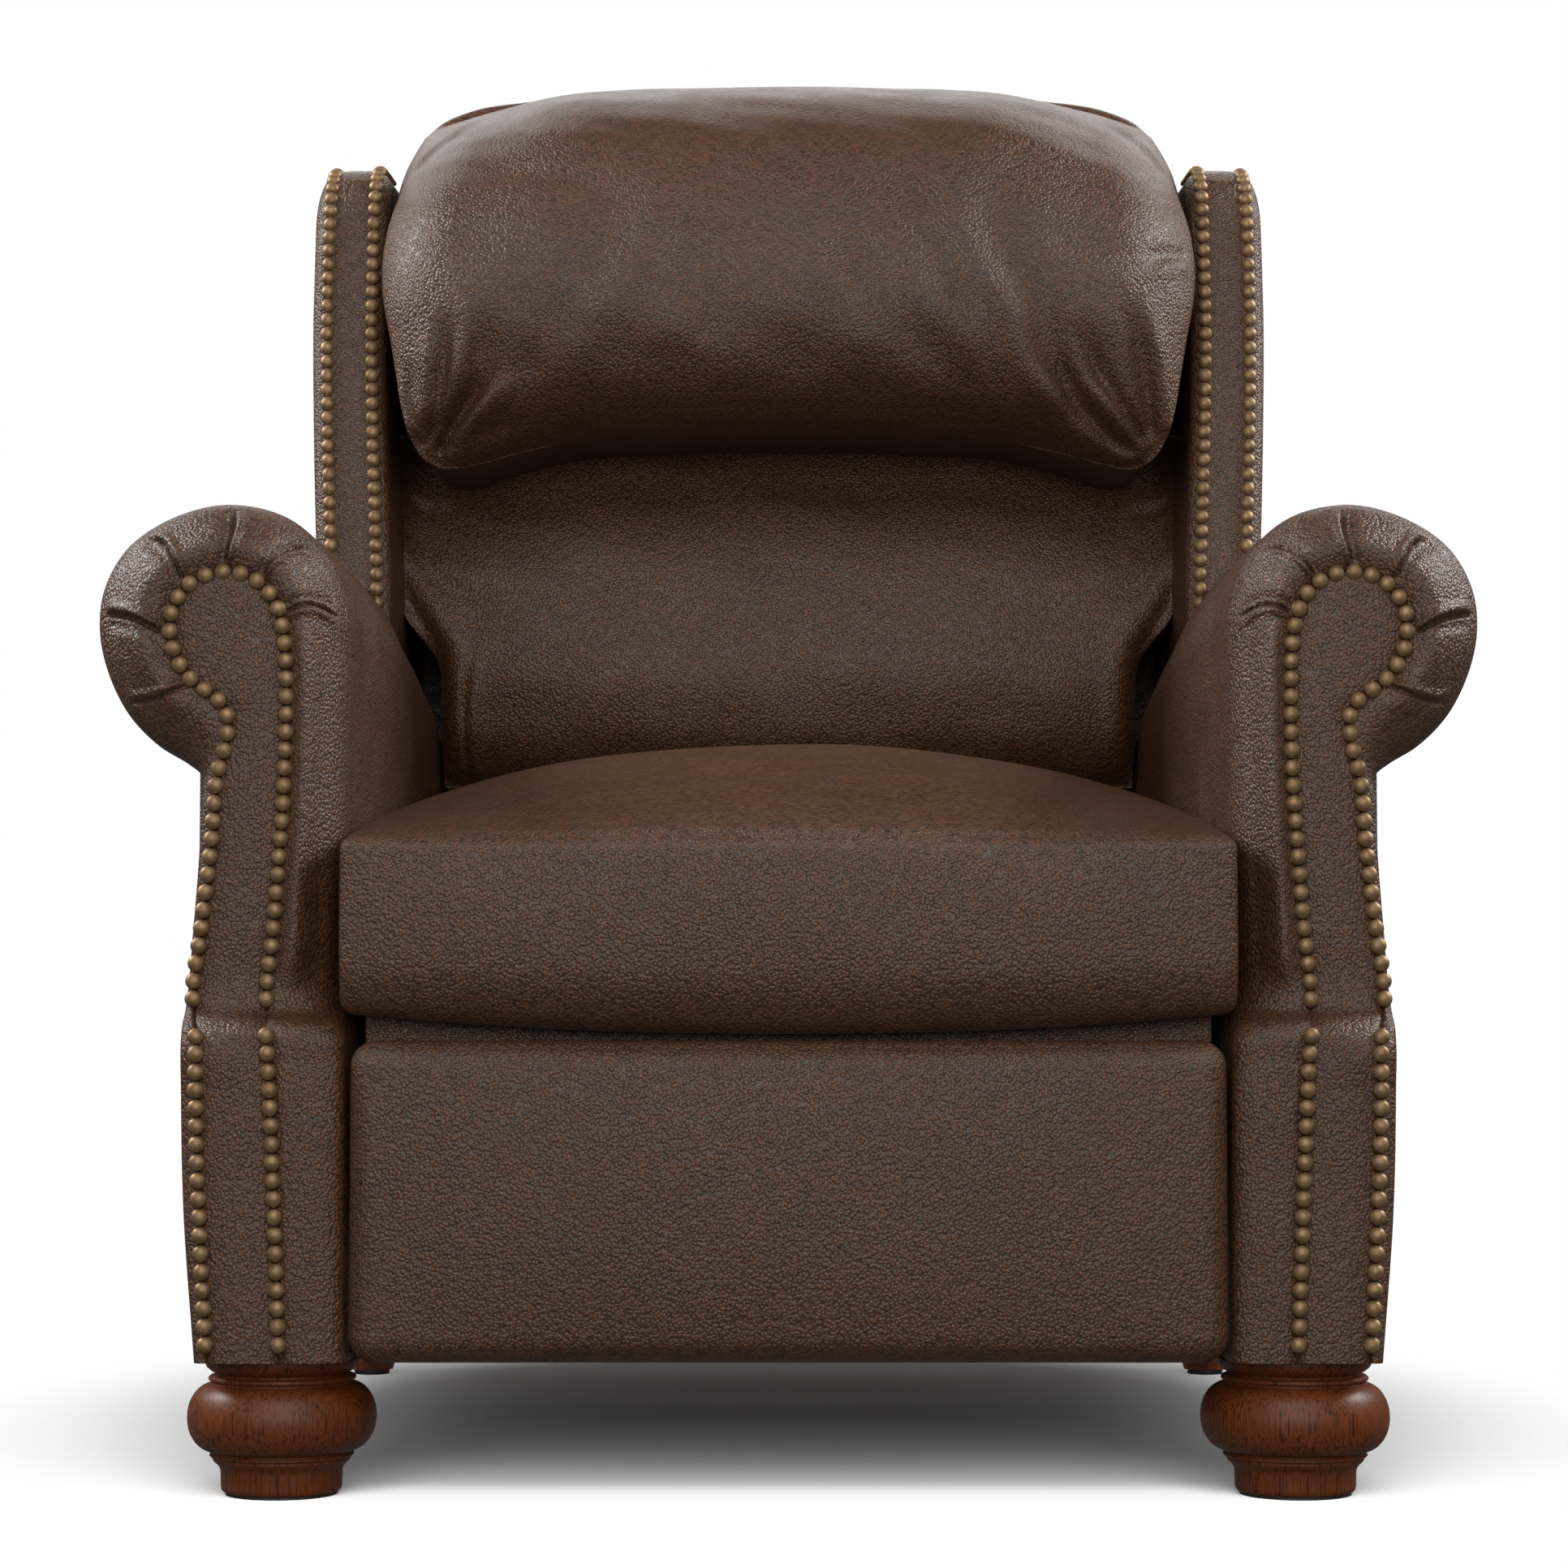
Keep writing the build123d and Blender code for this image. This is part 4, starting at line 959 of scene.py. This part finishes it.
LUMBAR_FACE = [(480, 112), (500, 82), (520, 64), (545, 54), (565, 50), (590, 51), (620, 57), (650, 66),
               (690, 84), (730, 108), (780, 136)]


def lumbar_cushion():
    """Lower back cushion: one broad swell, narrower between the arms than between the wings."""
    bottom = [(0, 484, 112), (150, 484, 112), (270, 486, 112)]
    side = [(270, 486, 112), (271, 520, 94), (271, 560, 86), (273, 580, 82), (281, 594, 80), (294, 610, 77),
            (303, 630, 73), (307, 655, 67), (309, 690, 60), (309, 715, 60), (309, 760, 84)]
    top = [(0, 778, 134), (200, 778, 134), (309, 760, 84)]

    def face(x, z):
        return at(z, LUMBAR_FACE) + 22 * (np.abs(x) / 300) ** 4

    def behind(x, z):
        wide = at(z, [(484, 271), (548, 272), (566, 298), (604, 306), (778, 309)])
        return np.where(x < 240, x, x / x.max() * wide)

    p, faces, share = pillow((200, 22, 110), bottom, side, top, (0, 625), face,
                             lambda z: 186 + 0.2 * np.clip(z - 600, 0, None), behind, 30, 12)
    front = (1 - share) ** 3
    p = folds(p, front, [
        # the side of the case folds in beside the arms: a rounded ridge with a valley outside it
        ([(-269, 470), (-270, 530), (-271, 570), (-274, 596), (-288, 616), (-304, 645), (-318, 668),
          (-450, 880)], 4.0, 6.0, 5.0, 15, -1),
        ([(269, 470), (270, 530), (271, 570), (275, 596), (290, 616), (306, 645), (319, 668),
          (450, 880)], 3.5, 6.0, 4.0, 15, 1),
        ([(-250, 478), (-251, 520), (-250, 560), (-243, 610)], 3.0, 3.0, 2.5, 8, -1),
        ([(-303, 716), (-288, 706), (-262, 700)], 2.6, 4.0, 1.6, 8, 1),
        ([(303, 712), (286, 704), (260, 700)], 2.6, 4.0, 1.6, 8, -1),
        ([(-285, 655), (-262, 640), (-225, 632)], 2.2, 7.0, 2.2, 12, 1),
        ([(285, 652), (262, 640), (225, 634)], 2.0, 7.0, 1.8, 12, -1),
    ])
    uneven = 1.3 * ripple(p, 110, 0.9) + 1.6 * ripple(p, 230, 1.2)
    p[:, 1] += front * uneven * ease(290 - np.abs(p[:, 0]), 0, 60)
    piece = make("lumbar_cushion_cover", p, faces, "leather", "back")
    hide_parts("lumbar_cushion")


FOOT_COLLAR = [(0, 89.3), (49.2, 89.3), (50.2, 87.5), (50.0, 84.8), (48.6, 82.2), (45.6, 79.6),
               (43.2, 78.4), (42.4, 77.6), (43.2, 76.9), (46.2, 76.6), (47.6, 75.4), (47.4, 73.9),
               (46.0, 72.9), (45.2, 72.3)]
FOOT_TOE = [(45.2, 27.8), (45.0, 27.2), (46.0, 26.6), (46.6, 25.6), (45.9, 24.7), (44.2, 24.2), (43.9, 23.6),
            (44.4, 22.8), (43.6, 21.6), (41.4, 19.6), (39.8, 17.6), (39.2, 15.0), (39.0, 6.0), (38.6, 3.6),
            (37.2, 2.1), (0, 2.0)]
BULB_MIDDLE, BULB_HALF, BULB_RADIUS = 50.0, 21.5, 61.0


def turned_feet():
    """Front bun feet as turned on a lathe: collar, bead, bulb, waist and toe, as (radius, z)."""
    bulb = []
    for t in np.linspace(1, -1, 27):
        z = math.sin(t * math.pi / 2)
        inset = 14.3 * (1 - math.sqrt(1 - (0.995 * z) ** 2)) / 0.9
        bulb.append((BULB_RADIUS - inset, BULB_MIDDLE + BULB_HALF * z))
    around = 96
    angle = np.linspace(0, 2 * math.pi, around, endpoint=False)
    rings = np.array([[(r * math.cos(a), r * math.sin(a), z) for a in angle]
                      for r, z in FOOT_COLLAR + bulb + FOOT_TOE])
    faces = [f[::-1] for f in grid_faces(len(rings), around, closed=True)]
    for side, end in SIDES:
        low, high = box_mm(f"front_foot_{end}")
        middle = (low + high) / 2
        p = rings + [side * middle[0], middle[1], 0]
        piece = make(f"turned_foot_{end}", p, faces, "mahogany", "root", side)
        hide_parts(f"front_foot_{end}")


def deck_sheet():
    """The dark cloth pulled tight over the seat rails, dipping a little between the springs."""
    low, high = box_mm("seat_deck")
    cube, faces = cube_grid(80, 76, 3)
    p = rounded(cube, (high - low) / 2, 1.2) + (low + high) / 2
    dip = (1 - cube[:, 0] ** 6) * (1 - cube[:, 1] ** 6)
    p[:, 2] -= dip * (0.9 + 0.7 * np.cos(cube[:, 1] * 6 * math.pi))
    piece = make("deck_sheet", p, faces, "deck_cloth", "seat")
    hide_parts("seat_deck")


def seat_rail_cover():
    """Leather wrapped over the front seat rail, seen in the gap above the footrest."""
    low, high = box_mm("seat_cross_rails")
    cube, faces = cube_grid(90, 6, 10)
    p = rounded(cube, (273.0, 2.4, (high[2] - low[2]) / 2 + 3), 2.2)
    p += [0, low[1] - 0.6, (high[2] + low[2]) / 2 - 2]
    piece = make("seat_rail_cover", p, faces, "leather", "seat")


# ---------------- all pieces

build_arms()
build_wings()
build_sides()
soft_box("base_rear_cover", "base_rear_panel", 5, "root", swell=(0, 2.5, 0))
soft_box("footrest_pad_cover", "footrest_pad", 17, "footrest", swell=(0, 10, 0),
         cells=(110, 14, 60), grow=0.8)
build_back_shell()
turned_feet()
deck_sheet()
seat_cushion()
seat_rail_cover()
lumbar_cushion()
head_cushion()


# ---------------- stage, light and camera

WORLD_STRENGTH = 0.10
FLOOR_HALF = 4.0
FLOOR_OVAL = (1.25, 0.8, 1.0)  # inside an oval it is opaque, outside a larger one gone
EYE_BACK, EYE_HEIGHT, EYE_PITCH = 2.341, 0.314, 3.45  # metres from the chair's front, metres, degrees


def build_stage():
    """A white floor that gives way to the white surround some way from the chair."""
    mesh = bpy.data.meshes.new("floor")
    corners = [(x * FLOOR_HALF, y * FLOOR_HALF, 0) for x, y in ((-1, -1), (1, -1), (1, 1), (-1, 1))]
    mesh.from_pydata(corners, [], [(0, 1, 2, 3)])
    floor = bpy.data.objects.new("floor", mesh)
    material, tree, shader, place = new_material("floor_white")
    oval = node(tree, "VectorMath", operation="MULTIPLY")
    tree.links.new(place, oval.inputs[0])
    oval.inputs[1].default_value = FLOOR_OVAL
    far = node(tree, "VectorMath", operation="LENGTH")
    tree.links.new(oval.outputs["Vector"], far.inputs[0])
    fade = node(tree, "MapRange", interpolation_type="SMOOTHSTEP", Value=far.outputs["Value"],
                From_Min=0.44, From_Max=0.84, To_Min=1.0, To_Max=0.0)
    wire(tree, shader, Base_Color=(0.97, 0.97, 0.97, 1), Roughness=0.85, Specular_IOR_Level=0.1,
         Alpha=fade.outputs["Result"])
    mesh.materials.append(material)
    bpy.context.scene.collection.objects.link(floor)
    # the floor is seen, but throws no light back on the chair
    floor.visible_diffuse = False
    floor.visible_glossy = False
    return floor


def area(name, place, aim, width, height, power):
    light = bpy.data.lights.new(name, "AREA")
    light.shape = "RECTANGLE"
    light.size = width
    light.size_y = height
    light.energy = power
    lamp = bpy.data.objects.new(name, light)
    lamp.location = place
    lamp.rotation_euler = (Vector(aim) - Vector(place)).to_track_quat("-Z", "Y").to_euler()
    bpy.context.scene.collection.objects.link(lamp)
    return lamp


def receivers(name, lamps, floor, state):
    """Lamps that only the floor takes light from (INCLUDE), or everything but the floor (EXCLUDE)."""
    group = bpy.data.collections.new(name)
    group.objects.link(floor)
    group.collection_objects[0].light_linking.link_state = state
    for lamp in lamps:
        lamp.light_linking.receiver_collection = group


def build_light(floor):
    """Soft boxes round the chair, and one in front that only lights the floor."""
    world = bpy.data.worlds.new("studio")
    bpy.context.scene.world = world
    world.use_nodes = True
    tree = world.node_tree
    # a white surround that gives only a little light
    seen = wire(tree, tree.nodes["Background"], Color=(1, 1, 1, 1), Strength=1.0)
    given = node(tree, "Background", Color=(1, 1, 1, 1), Strength=WORLD_STRENGTH)
    mix = node(tree, "MixShader", Fac=node(tree, "LightPath").outputs["Is Camera Ray"])
    tree.links.new(given.outputs[0], mix.inputs[1])
    tree.links.new(seen.outputs[0], mix.inputs[2])
    tree.links.new(mix.outputs[0], tree.nodes["World Output"].inputs["Surface"])
    area("front_high", (0.0, -3.0, 3.0), (0, 0, 0.7), 3.2, 1.5, 50)
    area("front_low", (0.0, -3.8, 1.0), (0, 0, 0.9), 4.4, 1.4, 52)
    behind = [area("back_high", (0.0, 2.8, 2.8), (0, 0, 0.7), 3.2, 1.2, 30)]
    for side in (1, -1):
        area("side", (side * 3.0, -0.8, 1.7), (0, 0, 0.5), 1.4, 1.6, 9)
        behind.append(area("inner", (side * 2.4, 0.3, 2.3), (-side * 0.3, -0.1, 0.4), 0.9, 1.2, 72))
    receivers("floor_left_dark", behind, floor, "EXCLUDE")
    sweep = area("floor_light", (0.0, -3.4, 1.7), (0, 0, 0), 4.0, 2.6, 215)
    receivers("lit_by_floor_light", [sweep], floor, "INCLUDE")


def build_camera():
    lens = bpy.data.cameras.new("camera")
    lens.lens = 85
    lens.sensor_width = 36
    lens.shift_x = -0.00285
    eye = bpy.data.objects.new("camera", lens)
    eye.location = (0, FRONT * MM - EYE_BACK, EYE_HEIGHT)
    eye.rotation_euler = (math.radians(90 + EYE_PITCH), 0, 0)
    bpy.context.scene.collection.objects.link(eye)
    bpy.context.scene.camera = eye
    bpy.context.scene.view_settings.view_transform = "Standard"


build_light(build_stage())
build_camera()
